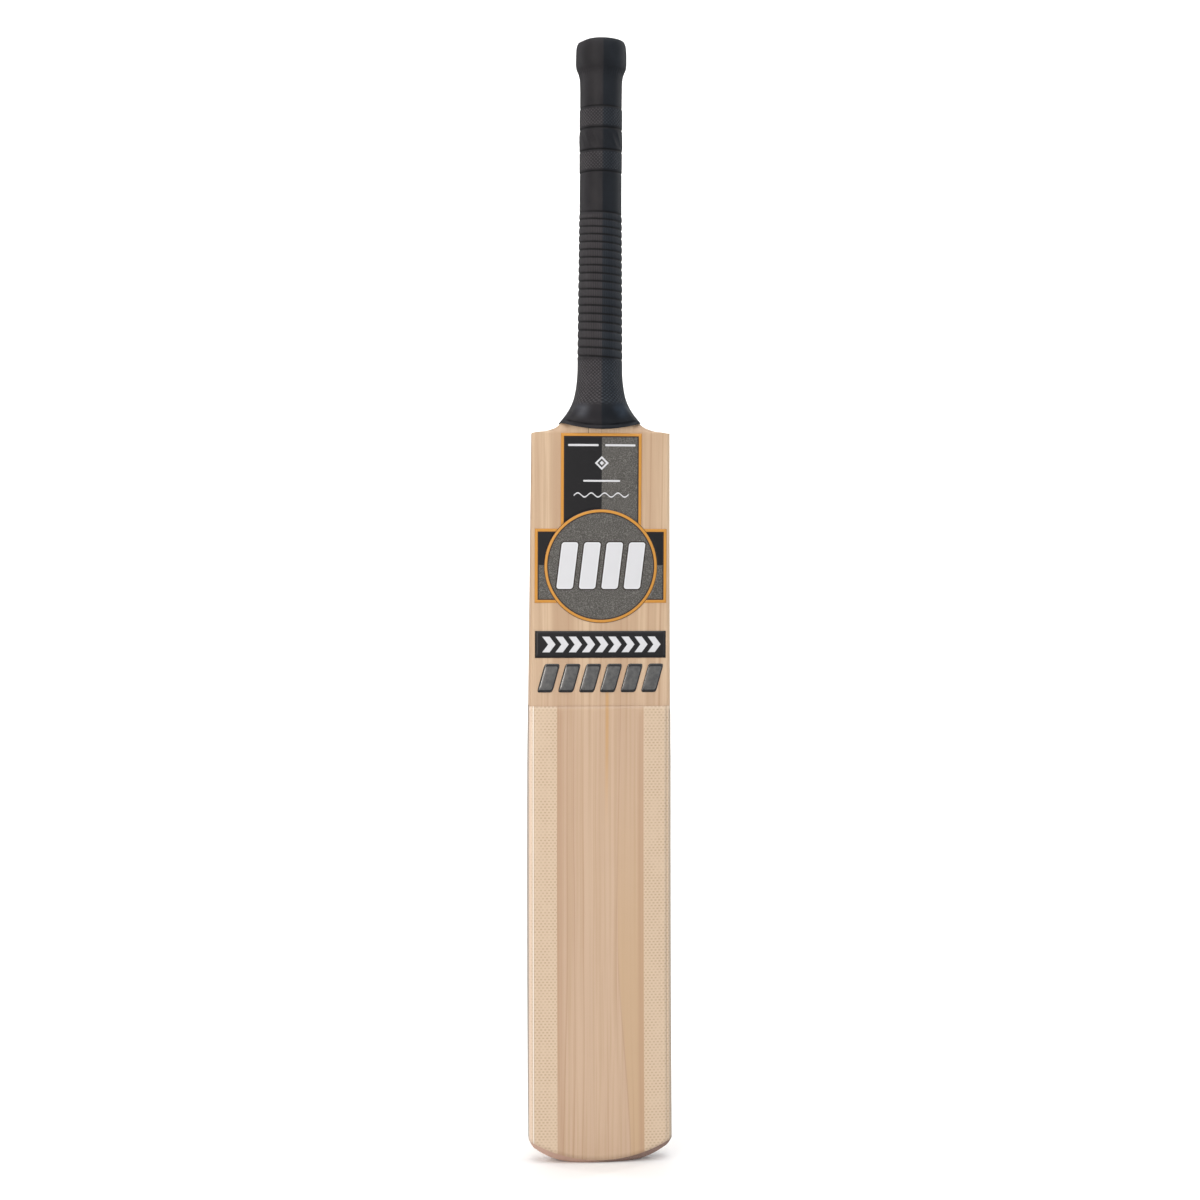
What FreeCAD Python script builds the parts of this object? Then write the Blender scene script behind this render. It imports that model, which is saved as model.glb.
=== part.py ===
import FreeCAD, Part
import math
import os

# Cricket bat: willow blade, cane handle spliced into it, twine, rubber grip, face sheet and stickers.
# Millimetres. +Z runs up the bat from the toe, the face looks to -Y, and X is across the blade.
# The origin is the middle of the flat underside of the toe.

V = FreeCAD.Vector

# blade
blade_length = 551.0          # toe to shoulder
blade_half_width = 54.0
shoulder_half_width = 52.3
waist_height = 300.0          # above this height the blade narrows towards the shoulder
toe_depth = 27.0
face_crown = 1.8              # how far the face bulges across its width
front_corner_radius = 3.0
back_corner_radius = 6.0
bow_centre = 250.0            # height at which the face lies furthest back
bow_depth = 6.65
blade_stations = (            # height, depth at the spine, depth of the edge
    (-4.0, toe_depth, 17.0),
    (25.0, 34.0, 22.5),
    (85.0, 47.5, 31.0),
    (155.0, 57.5, 35.5),
    (225.0, 60.0, 36.0),
    (300.0, 56.5, 34.0),
    (380.0, 49.5, 30.0),
    (460.0, 42.5, 25.5),
    (520.0, 38.2, 22.5),
    (blade_length - 0.4, 36.8, 21.8),
)

# toe
toe_flat_half = 21.0          # half of the flat stretch of the underside
toe_arc_radius = 45.5
toe_arc_end = 49.0            # across the blade, where the large arc meets the small corner
toe_side_height = 17.0        # where the corner meets the straight edge
bevel_radius = 106.0          # radius of the curved line where the face meets the toe bevel
bevel_base = 1.9              # height of that line in the middle of the blade
bevel_slope = 1.1
bevel_outside = 20.0          # length of the bevel's cone outside the face, and inside it
bevel_inside = 40.0
front_bevel_top = 40.0        # highest that the front bevel's cut may reach
back_bevel_top = 14.0         # above this the back swells past its bevel
toe_corner_inset = 1.2        # the small corner's middle, in from the side
toe_corner_share = 0.52       # and how far up the corner it lies

# handle, measured along its own axis from the shoulder
handle_lean = 3.0             # degrees towards the face
handle_axis_depth = 18.0      # axis behind the face at the shoulder
handle_top = 291.0
shoulder_sections = (         # height, half width, half depth, squareness of the section
    (-2.0, 50.4, 17.5, 5.0),
    (0.4, 50.0, 17.5, 5.0),
    (2.3, 41.0, 17.5, 4.7),
)
neck_sections = (
    (2.3, 41.0, 17.5, 4.7),
    (3.6, 36.5, 17.5, 4.5),
    (5.9, 32.5, 17.5, 4.2),
    (10.3, 27.7, 17.4, 3.6),
    (13.2, 25.2, 17.2, 3.3),
    (16.4, 22.9, 17.0, 3.0),
    (20.6, 20.4, 16.7, 2.7),
    (25.4, 18.1, 16.3, 2.5),
    (31.0, 16.3, 16.0, 2.3),
    (37.6, 15.1, 15.7, 2.1),
    (45.0, 14.5, 15.5, 2.0),
    (54.0, 14.1, 15.4, 2.0),
)
shaft_sections = (
    (54.0, 14.1, 15.4, 2.0),
    (170.0, 13.2, 14.8, 2.0),
    (handle_top, 12.9, 14.5, 2.0),
)
splice_tip = 150.0            # how far the splice reaches below the shoulder
splice_tip_half = 1.5
splice_half_at_shoulder = 23.5
splice_flare = 80.0           # height above the shoulder up to which the V goes on widening
cane_joint_offset = 10.0      # the two outer joints between canes, either side of the middle
rubber_offset = 5.2           # middle of each rubber strip from the handle axis
rubber_thickness = 1.6
rubber_reach = 80.0           # how far the rubber goes below the shoulder

# twine binding
twine_thickness = 0.8
twine_bottom = 24.0
twine_top = 286.5

# grip: half width of the outside by height above the shoulder
skirt_sections = (            # height, half width, half depth, squareness of the section
    (-1.0, 38.5, 19.6, 4.4),
    (3.0, 34.6, 19.6, 4.3),
    (7.6, 31.1, 19.6, 4.1),
    (10.3, 29.0, 19.5, 3.7),
    (13.3, 26.6, 19.3, 3.4),
    (16.4, 24.5, 19.0, 3.1),
    (19.4, 22.7, 18.8, 2.9),
    (22.4, 21.3, 18.6, 2.7),
    (26.0, 20.0, 18.4, 2.4),
    (31.5, 18.7, 18.3, 2.2),
    (37.0, 17.9, 18.2, 2.1),
    (43.6, 17.3, 18.1, 2.0),
    (56.0, 17.0, 18.3, 2.0),
)
depth_over_width = 1.3        # above the skirt the grip is this much deeper than wide, each side
barrel_steps = (              # height, half width, straight runs between
    (56.0, 17.0),
    (57.0, 17.25),
    (162.8, 16.3),
    (165.6, 15.95),
    (194.8, 15.85),
    (195.6, 15.6),
    (196.8, 16.1),
    (210.6, 16.15),
    (211.6, 15.65),
    (213.0, 16.25),
    (226.8, 16.2),
    (228.0, 15.65),
    (229.3, 16.15),
    (242.7, 16.15),
    (243.9, 15.6),
    (245.3, 15.8),
    (257.4, 15.85),
)
collar_sections = (
    (257.4, 15.85),
    (265.5, 16.15),
    (268.5, 16.6),
    (270.8, 17.3),
    (273.1, 18.5),
    (276.0, 19.1),
    (281.0, 19.2),
    (286.0, 19.1),
    (290.0, 18.7),
    (292.5, 17.9),
    (294.0, 16.7),
    (294.4, 15.2),
)
rim_dip = 5.0                 # the skirt's rim is this much lower at the front than at the sides
rim_front_height = 3.0
rim_half_width = 31.0
skirt_cut_below = 20.0        # how far below and above the shoulder the rim's cut reaches
skirt_cut_above = 25.0
mouth_below = 1.0             # the grip's mouth is opened this far below and above the handle's end
mouth_above = 6.0

# face sheet, edge tapes and stickers
tape_thickness = 0.25
sheet_thickness = 0.5
sheet_top = 344.0
sheet_half_width = 50.5
tape_inner = 33.0
sticker_thickness = 0.3
label_half_width = 30.5
label_top = 550.0
badge_height = 450.0
badge_radius = 43.0
panel_half_width = 50.0
panel_bottom = 422.3
panel_top = 478.2
band_half_width = 49.7
band_bottom = 380.6
band_top = 401.0
domed_height = 1.3
domed_bottom = 354.4
domed_top = 376.2
domed_half_width = 48.3
domed_count = 6
domed_slant = 6.0             # how far each bar's top leans towards +X
domed_gap = 4.0

far = 120.0                   # half size of the cutting blocks
below = -200.0                # ends of the handle's cutting blocks along its axis
above = 400.0
spine_steps = 6               # points from the middle of the back to each corner
oval_points = 32


def face_y(z):
    """Height z to the y of the middle of the face, which bows forward at both ends."""
    along = (z - bow_centre) / bow_centre
    return -toe_depth / 2 + bow_depth * (1 - along ** 2)


def half_width(z):
    """Half width of the blade at height z."""
    if z <= waist_height:
        return blade_half_width
    along = (z - waist_height) / (blade_length - waist_height)
    return blade_half_width - (blade_half_width - shoulder_half_width) * along


axis_y = face_y(blade_length) + handle_axis_depth


def blade_section(z, spine, edge, grow):
    """One closed wire across the blade, made bigger all round by grow."""
    middle = face_y(z)
    side = half_width(z) + grow
    front = side - front_corner_radius
    back = side - back_corner_radius
    bend = 1 - math.sqrt(0.5)

    def at(x, depth):
        return V(x, middle + depth, z)

    def back_depth(x):
        swell = 0.5 + 0.5 * math.cos(math.pi * x / side)
        return edge + (spine - edge) * swell + grow

    face_edge = face_crown - grow
    corner_end = face_edge + front_corner_radius
    edge_end = back_depth(back) - back_corner_radius
    face = Part.Arc(at(-front, face_edge), at(0, -grow), at(front, face_edge))
    right_corner = Part.Arc(
        at(front, face_edge),
        at(side - bend * front_corner_radius, face_edge + bend * front_corner_radius),
        at(side, corner_end))
    right_edge = Part.LineSegment(at(side, corner_end), at(side, edge_end))
    right_back = Part.Arc(
        at(side, edge_end),
        at(side - bend * back_corner_radius, edge_end + (1 - bend) * back_corner_radius),
        at(back, back_depth(back)))
    places = [back * step / spine_steps for step in range(spine_steps, -spine_steps - 1, -1)]
    spine_points = [at(x, back_depth(x)) for x in places]
    spine_curve = Part.BSplineCurve()
    spine_curve.interpolate(spine_points)
    left_back = Part.Arc(
        at(-back, back_depth(back)),
        at(-side + bend * back_corner_radius, edge_end + (1 - bend) * back_corner_radius),
        at(-side, edge_end))
    left_edge = Part.LineSegment(at(-side, edge_end), at(-side, corner_end))
    left_corner = Part.Arc(
        at(-side, corner_end),
        at(-side + bend * front_corner_radius, face_edge + bend * front_corner_radius),
        at(-front, face_edge))
    curves = (face, right_corner, right_edge, right_back, spine_curve, left_back, left_edge, left_corner)
    return Part.Wire([curve.toShape() for curve in curves])


def blade_block(grow=0.0):
    """The blade before its toe is rounded."""
    wires = [blade_section(z, spine, edge, grow) for z, spine, edge in blade_stations]
    return Part.makeLoft(wires, True, False)


def prism(edges):
    """A block that runs right through the bat along Y, from a closed outline in X and Z."""
    outline = Part.Face(Part.Wire(edges))
    outline.translate(V(0, -far, 0))
    return outline.extrude(V(0, 2 * far, 0))


def polygon_edges(points):
    """Straight edges round a list of (x, z) points."""
    corners = [V(x, 0, z) for x, z in points]
    return [Part.makeLine(a, b) for a, b in zip(corners, corners[1:] + corners[:1])]


def box(x_low, x_high, y_low, y_high, z_low, z_high):
    """A plain block between two corners."""
    return Part.makeBox(x_high - x_low, y_high - y_low, z_high - z_low, V(x_low, y_low, z_low))


def rounded_toe(shape, grow=0.0):
    """Cut a blade-shaped solid to the rounded toe and bevel its front and back lower edges."""
    side = blade_half_width + grow
    arc_end_z = toe_arc_radius - math.sqrt(toe_arc_radius ** 2 - (toe_arc_end - toe_flat_half) ** 2)
    angle = 0.5 * math.asin((toe_arc_end - toe_flat_half) / toe_arc_radius)
    arc_mid = (toe_flat_half + toe_arc_radius * math.sin(angle), toe_arc_radius * (1 - math.cos(angle)))
    corner_mid_z = arc_end_z + toe_corner_share * (toe_side_height - arc_end_z)
    corner_mid = (side - toe_corner_inset, corner_mid_z)
    edges = [Part.makeLine(V(-toe_flat_half, 0, 0), V(toe_flat_half, 0, 0))]
    for sign in (1, -1):
        start = V(sign * toe_flat_half, 0, 0)
        joint = V(sign * toe_arc_end, 0, arc_end_z)
        end = V(sign * side, 0, toe_side_height)
        edges.append(Part.Arc(start, V(sign * arc_mid[0], 0, arc_mid[1]), joint).toShape())
        edges.append(Part.Arc(joint, V(sign * corner_mid[0], 0, corner_mid[1]), end).toShape())
        edges.append(Part.makeLine(end, V(sign * side, 0, 2 * blade_length)))
    edges.append(Part.makeLine(V(-side, 0, 2 * blade_length), V(side, 0, 2 * blade_length)))
    ordered = Part.__sortEdges__(edges)
    shape = shape.common(prism(ordered))
    rise = bevel_base + bevel_radius
    length = bevel_outside + bevel_inside
    narrow = bevel_radius - bevel_outside * bevel_slope
    wide = bevel_radius + bevel_inside * bevel_slope
    front_start = V(0, face_y(0) - bevel_outside, rise)
    back_start = V(0, face_y(0) + toe_depth - bevel_inside, rise)
    front_cone = Part.makeCone(narrow, wide, length, front_start, V(0, 1, 0))
    back_cone = Part.makeCone(wide, narrow, length, back_start, V(0, 1, 0))
    front_bevel = box(-far, far, -far, 0, -far, front_bevel_top).cut(front_cone)
    back_bevel = box(-far, far, 0, far, -far, back_bevel_top).cut(back_cone)
    return shape.cut(front_bevel).cut(back_bevel)


def handle_frame(shape):
    """Move a shape from the handle's own frame, where its axis is Z, to its place on the bat."""
    shape.rotate(V(0, 0, 0), V(1, 0, 0), handle_lean)
    shape.translate(V(0, axis_y, blade_length))
    return shape


def oval(height, half_x, half_y, squareness, grow=0.0):
    """A closed smooth section across the handle, between an ellipse and a rounded rectangle."""
    power = 2.0 / squareness
    points = []
    for step in range(oval_points):
        angle = 2 * math.pi * step / oval_points
        cosine = math.cos(angle)
        sine = math.sin(angle)
        x = (half_x + grow) * math.copysign(abs(cosine) ** power, cosine)
        y = (half_y + grow) * math.copysign(abs(sine) ** power, sine)
        points.append(V(x, y, height))
    curve = Part.BSplineCurve()
    curve.interpolate(points, PeriodicFlag=True)
    return Part.Wire(curve.toShape())


def loft(sections, grow=0.0):
    """A solid through oval sections, straight from each one to the next."""
    return Part.makeLoft([oval(*section, grow) for section in sections], True, True)


def grip_ovals(steps):
    """Full oval sections from the heights and half widths of the upper grip."""
    return [(height, half, half + depth_over_width, 2.0) for height, half in steps]


def merged(shapes):
    """One solid out of touching ones."""
    return shapes[0].multiFuse(shapes[1:]).removeSplitter().Solids[0]


def handle_core():
    """Neck and shaft: the outside of the wood above the shoulder."""
    shoulder = loft(shoulder_sections)
    return handle_frame(merged([shoulder, loft(neck_sections), loft(shaft_sections)]))


def splice_prism():
    """The V that divides blade from handle, carried on past the shoulder."""
    slope = (splice_half_at_shoulder - splice_tip_half) / splice_tip
    tip_z = blade_length - splice_tip
    wide_z = blade_length + splice_flare
    wide = splice_tip_half + slope * (wide_z - tip_z)
    top_z = blade_length + above
    points = ((-splice_tip_half, tip_z), (splice_tip_half, tip_z), (wide, wide_z),
              (wide, top_z), (-wide, top_z), (-wide, wide_z))
    return prism(polygon_edges(points))


def cane_pieces(handle):
    """Twelve canes: three layers front to back, four across."""
    inner = rubber_offset - rubber_thickness / 2
    outer = rubber_offset + rubber_thickness / 2
    joints = (-far, -cane_joint_offset, 0.0, cane_joint_offset, far)
    pieces = {}
    for layer, y_low, y_high in (("front", -far, -outer), ("middle", -inner, inner), ("back", outer, far)):
        for index in range(4):
            x_low, x_high = joints[index], joints[index + 1]
            cutter = handle_frame(box(x_low, x_high, y_low, y_high, below, above))
            if layer == "middle":
                under = handle_frame(box(x_low, x_high, -outer, outer, below, -rubber_reach))
                cutter = merged([cutter, under])
            pieces["cane_%s_%d" % (layer, index + 1)] = handle.common(cutter)
    return pieces


def rubber_strips(handle):
    """Two rubber strips between the layers of cane, reaching into the splice."""
    strips = {}
    for name, centre in (("front", -rubber_offset), ("back", rubber_offset)):
        low = centre - rubber_thickness / 2
        cutter = handle_frame(box(-far, far, low, low + rubber_thickness, -rubber_reach, above))
        strips["rubber_strip_" + name] = handle.common(cutter)
    return strips


def twine_binding(core):
    """The layer of twine wound round the canes under the grip."""
    outside = merged([loft(neck_sections, twine_thickness), loft(shaft_sections, twine_thickness)])
    outside = handle_frame(outside)
    return outside.common(handle_frame(box(-far, far, -far, far, twine_bottom, twine_top))).cut(core)


def grip_sleeve(body, binding):
    """Moulded rubber grip with its flared skirt, banded top and bulged collar."""
    skirt = loft(skirt_sections)
    barrel = loft(grip_ovals(barrel_steps))
    collar = loft(grip_ovals(collar_sections))
    sleeve = handle_frame(merged([skirt, barrel, collar]))
    arc_radius = rim_half_width ** 2 / (2 * rim_dip)
    rim_z = blade_length + rim_front_height
    round_cut = Part.makeCylinder(arc_radius, 2 * far, V(0, -far, rim_z + arc_radius), V(0, 1, 0))
    cut_low = blade_length - skirt_cut_below
    skirt_cut = box(-far, far, -far, far, cut_low, blade_length + skirt_cut_above).cut(round_cut)
    mouth_size = shaft_sections[-1][1:]
    mouth_ends = (handle_top - mouth_below, handle_top + mouth_above)
    mouth = handle_frame(loft([(height, *mouth_size) for height in mouth_ends]))
    return sleeve.cut(skirt_cut).cut(body).cut(binding).cut(mouth)


def front_region(edges):
    """The part of a prism in front of the middle of the bat."""
    return prism(edges).common(box(-far, far, -far, 0, -far, 2 * blade_length))


def rectangle(x_low, x_high, z_low, z_high):
    """Edges of an upright rectangle in X and Z."""
    return polygon_edges(((x_low, z_low), (x_high, z_low), (x_high, z_high), (x_low, z_high)))


def badge_circle():
    """Edge of the round badge."""
    return [Part.makeCircle(badge_radius, V(0, 0, badge_height), V(0, 1, 0))]


def stickers(skin):
    """The printed stickers, each cut out of a thin layer that follows the face."""
    badge = front_region(badge_circle())
    upper = front_region(rectangle(-label_half_width, label_half_width, badge_height, label_top)).cut(badge)
    pieces = {
        "upper_label": skin.common(upper),
        "round_badge": skin.common(badge),
        "band_label": skin.common(
            front_region(rectangle(-band_half_width, band_half_width, band_bottom, band_top))),
    }
    for name, x_low, x_high in (("left", -panel_half_width, 0), ("right", 0, panel_half_width)):
        panel = front_region(rectangle(x_low, x_high, panel_bottom, panel_top)).cut(badge).cut(upper)
        pieces["side_panel_" + name] = skin.common(panel)
    return pieces


def domed_bars(thick_skin):
    """Slanted domed gel pieces in a row under the band."""
    pieces = {}
    run = 2 * domed_half_width - domed_slant
    pitch = (run + domed_gap) / domed_count
    for index in range(domed_count):
        left = -domed_half_width + index * pitch
        right = left + pitch - domed_gap
        outline = polygon_edges(((left, domed_bottom), (right, domed_bottom),
                                 (right + domed_slant, domed_top), (left + domed_slant, domed_top)))
        pieces["domed_bar_%d" % (index + 1)] = thick_skin.common(front_region(outline))
    return pieces


def tapes_and_sheet(block):
    """Fibre tapes round both edges of the hitting area and the clear sheet over the face."""
    pieces = {}
    tape_skin = blade_block(tape_thickness).cut(block)
    sheet_skin = blade_block(sheet_thickness).cut(block)
    tapes = []
    for name, x_low, x_high in (("left", -far, -tape_inner), ("right", tape_inner, far)):
        region = box(x_low, x_high, -far, far, -far, sheet_top)
        tape = rounded_toe(tape_skin.common(region), tape_thickness)
        pieces["edge_tape_" + name] = tape
        tapes.append(tape)
    sheet = sheet_skin.common(
        front_region(rectangle(-sheet_half_width, sheet_half_width, -far, sheet_top)))
    pieces["face_sheet"] = rounded_toe(sheet).cut(tapes[0]).cut(tapes[1])
    return pieces


def build():
    """All pieces of the bat by node name."""
    block = blade_block()
    core = handle_core()
    body = merged([rounded_toe(block), core])
    splice = splice_prism()
    handle = body.common(splice)
    pieces = {"blade": body.cut(splice)}
    pieces.update(cane_pieces(handle))
    pieces.update(rubber_strips(handle))
    binding = twine_binding(body)
    pieces["twine_binding"] = binding
    pieces["grip"] = grip_sleeve(body, binding)
    pieces.update(tapes_and_sheet(block))
    pieces.update(stickers(blade_block(sticker_thickness).cut(block)))
    pieces.update(domed_bars(blade_block(domed_height).cut(block)))
    return pieces


os.makedirs("parts", exist_ok=True)
for node, shape in build().items():
    shape.exportStep("parts/%s.step" % node)
    size = shape.BoundBox
    print(node, len(shape.Solids), "solids, valid", shape.isValid(), "volume", round(shape.Volume),
          "z", round(size.ZMin, 1), round(size.ZMax, 1), "y", round(size.YMin, 1), round(size.YMax, 1))
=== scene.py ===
import math

import bmesh
import bpy
import numpy as np
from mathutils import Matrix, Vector


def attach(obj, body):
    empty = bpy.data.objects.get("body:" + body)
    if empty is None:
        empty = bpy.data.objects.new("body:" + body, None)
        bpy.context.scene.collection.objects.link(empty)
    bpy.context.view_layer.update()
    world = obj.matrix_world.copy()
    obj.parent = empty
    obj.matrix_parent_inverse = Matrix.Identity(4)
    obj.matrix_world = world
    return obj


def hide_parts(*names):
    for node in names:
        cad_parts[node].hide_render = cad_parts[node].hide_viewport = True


# Cricket bat standing on its toe: face towards -Y, handle up, metres throughout.

mm = 0.001

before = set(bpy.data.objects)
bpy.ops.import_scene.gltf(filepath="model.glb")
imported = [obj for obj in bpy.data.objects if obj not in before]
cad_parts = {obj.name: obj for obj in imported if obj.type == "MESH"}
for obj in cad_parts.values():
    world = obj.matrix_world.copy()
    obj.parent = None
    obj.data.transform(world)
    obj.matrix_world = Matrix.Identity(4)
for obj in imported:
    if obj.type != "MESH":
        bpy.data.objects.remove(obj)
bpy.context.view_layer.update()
print("frame loaded:", len(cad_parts), "nodes")

blade = {
    "shoulderZ": 550.4 * mm,       # where the flat of the shoulder starts
    "halfWidth": 54.0 * mm,
    "shoulderHalf": 52.3 * mm,
    "waistZ": 300 * mm,            # narrows above this
    "lengthZ": 551 * mm,
    "toeDepth": 27 * mm,
    "crown": 1.8 * mm,             # bulge of the face across its width
    "frontRadius": 3 * mm,
    "backRadius": 6 * mm,
    "bowZ": 250 * mm,
    "bow": 6.65 * mm,
    "stationZ": np.array([-4, 25, 85, 155, 225, 300, 380, 460, 520, 550.6]) * mm,
    "spine": np.array([27, 34, 47.5, 57.5, 60, 56.5, 49.5, 42.5, 38.2, 36.8]) * mm,
    "edge": np.array([17, 22.5, 31, 35.5, 36, 34, 30, 25.5, 22.5, 21.8]) * mm,
    "toeReach": 60 * mm,           # rows bend to follow the round toe up to here
    "toeFlat": 21 * mm,
    "toeArc": 45.5 * mm,
    "toeArcEnd": 49 * mm,
    "toeSideZ": 17 * mm,
    "bevelRadius": 106 * mm,
    "bevelZ": 1.9 * mm,
    "bevelSlope": 1.1,
    "spliceTipZ": 401 * mm,
    "spliceTipHalf": 1.5 * mm,
    "spliceHalf": 23.5 * mm,       # at the shoulder
    "neckDepth": 17.5 * mm,
    "neckRise": np.array([0, 2.3, 5.9, 10.3, 16.4]) * mm,
    "neckSquare": np.array([5.0, 4.7, 4.2, 3.6, 3.0]),
    "ogeeX": np.array([23.5, 25.2, 27.7, 30.3, 32.5, 34.8, 39.3, 44, 50, 52.3]) * mm,
    "ogeeRise": np.array([15.5, 13.2, 10.3, 8.1, 5.9, 4.4, 2.8, 1.5, 1.2, 0.2]) * mm,
}

handle = {
    "lean": math.radians(3.0),
    "axisDepth": 18 * mm,          # axis behind the face at the shoulder
    "shoulderZ": 551 * mm,
}


def smoothCurve(knots, values, at):
    # cubic through the knots, with the slope at each one taken from its neighbours
    slopes = np.gradient(values, knots)
    index = np.clip(np.searchsorted(knots, at) - 1, 0, len(knots) - 2)
    span = knots[index + 1] - knots[index]
    t = np.clip((at - knots[index]) / span, 0, 1)
    start = (1 + 2 * t) * (1 - t) ** 2 * values[index] + t * (1 - t) ** 2 * span * slopes[index]
    end = t * t * (3 - 2 * t) * values[index + 1] - t * t * (1 - t) * span * slopes[index + 1]
    return start + end


def faceY(z):
    # y of the middle of the face: a parabola that is furthest back at bowZ
    along = (z - blade["bowZ"]) / blade["bowZ"]
    return -blade["toeDepth"] / 2 + blade["bow"] * (1 - along ** 2)


def sideX(z):
    # half width of the blade
    along = np.clip((z - blade["waistZ"]) / (blade["lengthZ"] - blade["waistZ"]), 0, 1)
    return blade["halfWidth"] - (blade["halfWidth"] - blade["shoulderHalf"]) * along


def frontDepth(x, side, grow=0.0):
    # face bulges by x squared, then turns round the front corner on an arc
    radius = blade["frontRadius"]
    flat = side - radius
    across = np.abs(x)
    corner = np.clip(across - flat, 0, radius)
    bulge = blade["crown"] * np.minimum(across / flat, 1) ** 2
    return bulge + radius - np.sqrt(radius ** 2 - corner ** 2) - grow


def backDepth(x, z, side, grow=0.0):
    # half a cosine from the edge up to the spine, with an arc at the corner
    spine = smoothCurve(blade["stationZ"], blade["spine"], z)
    edge = smoothCurve(blade["stationZ"], blade["edge"], z)
    radius = blade["backRadius"]
    flat = side - radius
    across = np.minimum(np.abs(x), flat)
    swell = edge + (spine - edge) * (0.5 + 0.5 * np.cos(np.pi * across / side))
    corner = np.clip(np.abs(x) - flat, 0, radius)
    return swell - radius + np.sqrt(radius ** 2 - corner ** 2) + grow


def bevelLine(x):
    # height of the curved line where the face meets the toe's bevel
    return blade["bevelZ"] + blade["bevelRadius"] - np.sqrt(blade["bevelRadius"] ** 2 - x ** 2)


def toeLine(x):
    # height of the underside: flat, then a large arc, then a small corner up to the edge
    across = np.abs(x)
    past = np.clip(across - blade["toeFlat"], 0, blade["toeArcEnd"] - blade["toeFlat"])
    arc = blade["toeArc"] - np.sqrt(blade["toeArc"] ** 2 - past ** 2)
    corner = np.clip((across - blade["toeArcEnd"]) / (blade["halfWidth"] - blade["toeArcEnd"]), 0, 1)
    arcEnd = blade["toeArc"] - math.sqrt(blade["toeArc"] ** 2 - (blade["toeArcEnd"] - blade["toeFlat"]) ** 2)
    return np.minimum(arc + (blade["toeSideZ"] - arcEnd) * corner ** 1.6, bevelLine(x))


def bentZ(x, level):
    # a level line across the blade bends down to the toe's curve near the bottom
    share = np.clip(1 - level / blade["toeReach"], 0, 1)
    return level + bevelLine(x) * share


def handleFrame(x, y, h):
    # handle coordinates, h along its axis from the shoulder, to the bat's
    axisY = faceY(handle["shoulderZ"]) + handle["axisDepth"]
    lean = handle["lean"]
    return x, axisY + y * math.cos(lean) - h * math.sin(lean), \
        handle["shoulderZ"] + y * math.sin(lean) + h * math.cos(lean)


def addPiece(name, grids, nodes, material, uvs=None, weld=2e-6, sharpAngle=40, recalc=True):
    # each grid is three arrays of x, y and z; neighbours in the arrays become quads
    points, faces, uvRows, start = [], [], [], 0
    for number, (x, y, z) in enumerate(grids):
        rows, columns = x.shape
        points.append(np.stack([x, y, z], -1).reshape(-1, 3))
        index = start + np.arange(rows * columns).reshape(rows, columns)
        quadCorners = [index[:-1, :-1], index[:-1, 1:], index[1:, 1:], index[1:, :-1]]
        quads = np.stack(quadCorners, -1).reshape(-1, 4)
        faces.append(quads)
        if uvs:
            uvRows.append(np.stack(uvs[number], -1).reshape(-1, 2))
        start += rows * columns
    faces = np.concatenate(faces)
    mesh = bpy.data.meshes.new(name)
    mesh.from_pydata(np.concatenate(points), [], faces)
    if uvs:
        layer = mesh.uv_layers.new(name="surface")
        layer.data.foreach_set("uv",
            np.concatenate(uvRows)[faces.reshape(-1)].astype(np.float32).reshape(-1))
    work = bmesh.new()
    work.from_mesh(mesh)
    bmesh.ops.remove_doubles(work, verts=work.verts, dist=weld)
    bmesh.ops.dissolve_degenerate(work, edges=work.edges, dist=weld)
    if recalc:
        bmesh.ops.recalc_face_normals(work, faces=work.faces)
    work.to_mesh(mesh)
    work.free()
    mesh.polygons.foreach_set("use_smooth", np.ones(len(mesh.polygons), bool))
    mesh.set_sharp_from_angle(angle=math.radians(sharpAngle))
    mesh.materials.append(material)
    piece = bpy.data.objects.new(name, mesh)
    bpy.context.scene.collection.objects.link(piece)
    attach(piece, "root")
    if nodes:
        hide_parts(*nodes)
    return piece


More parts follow.
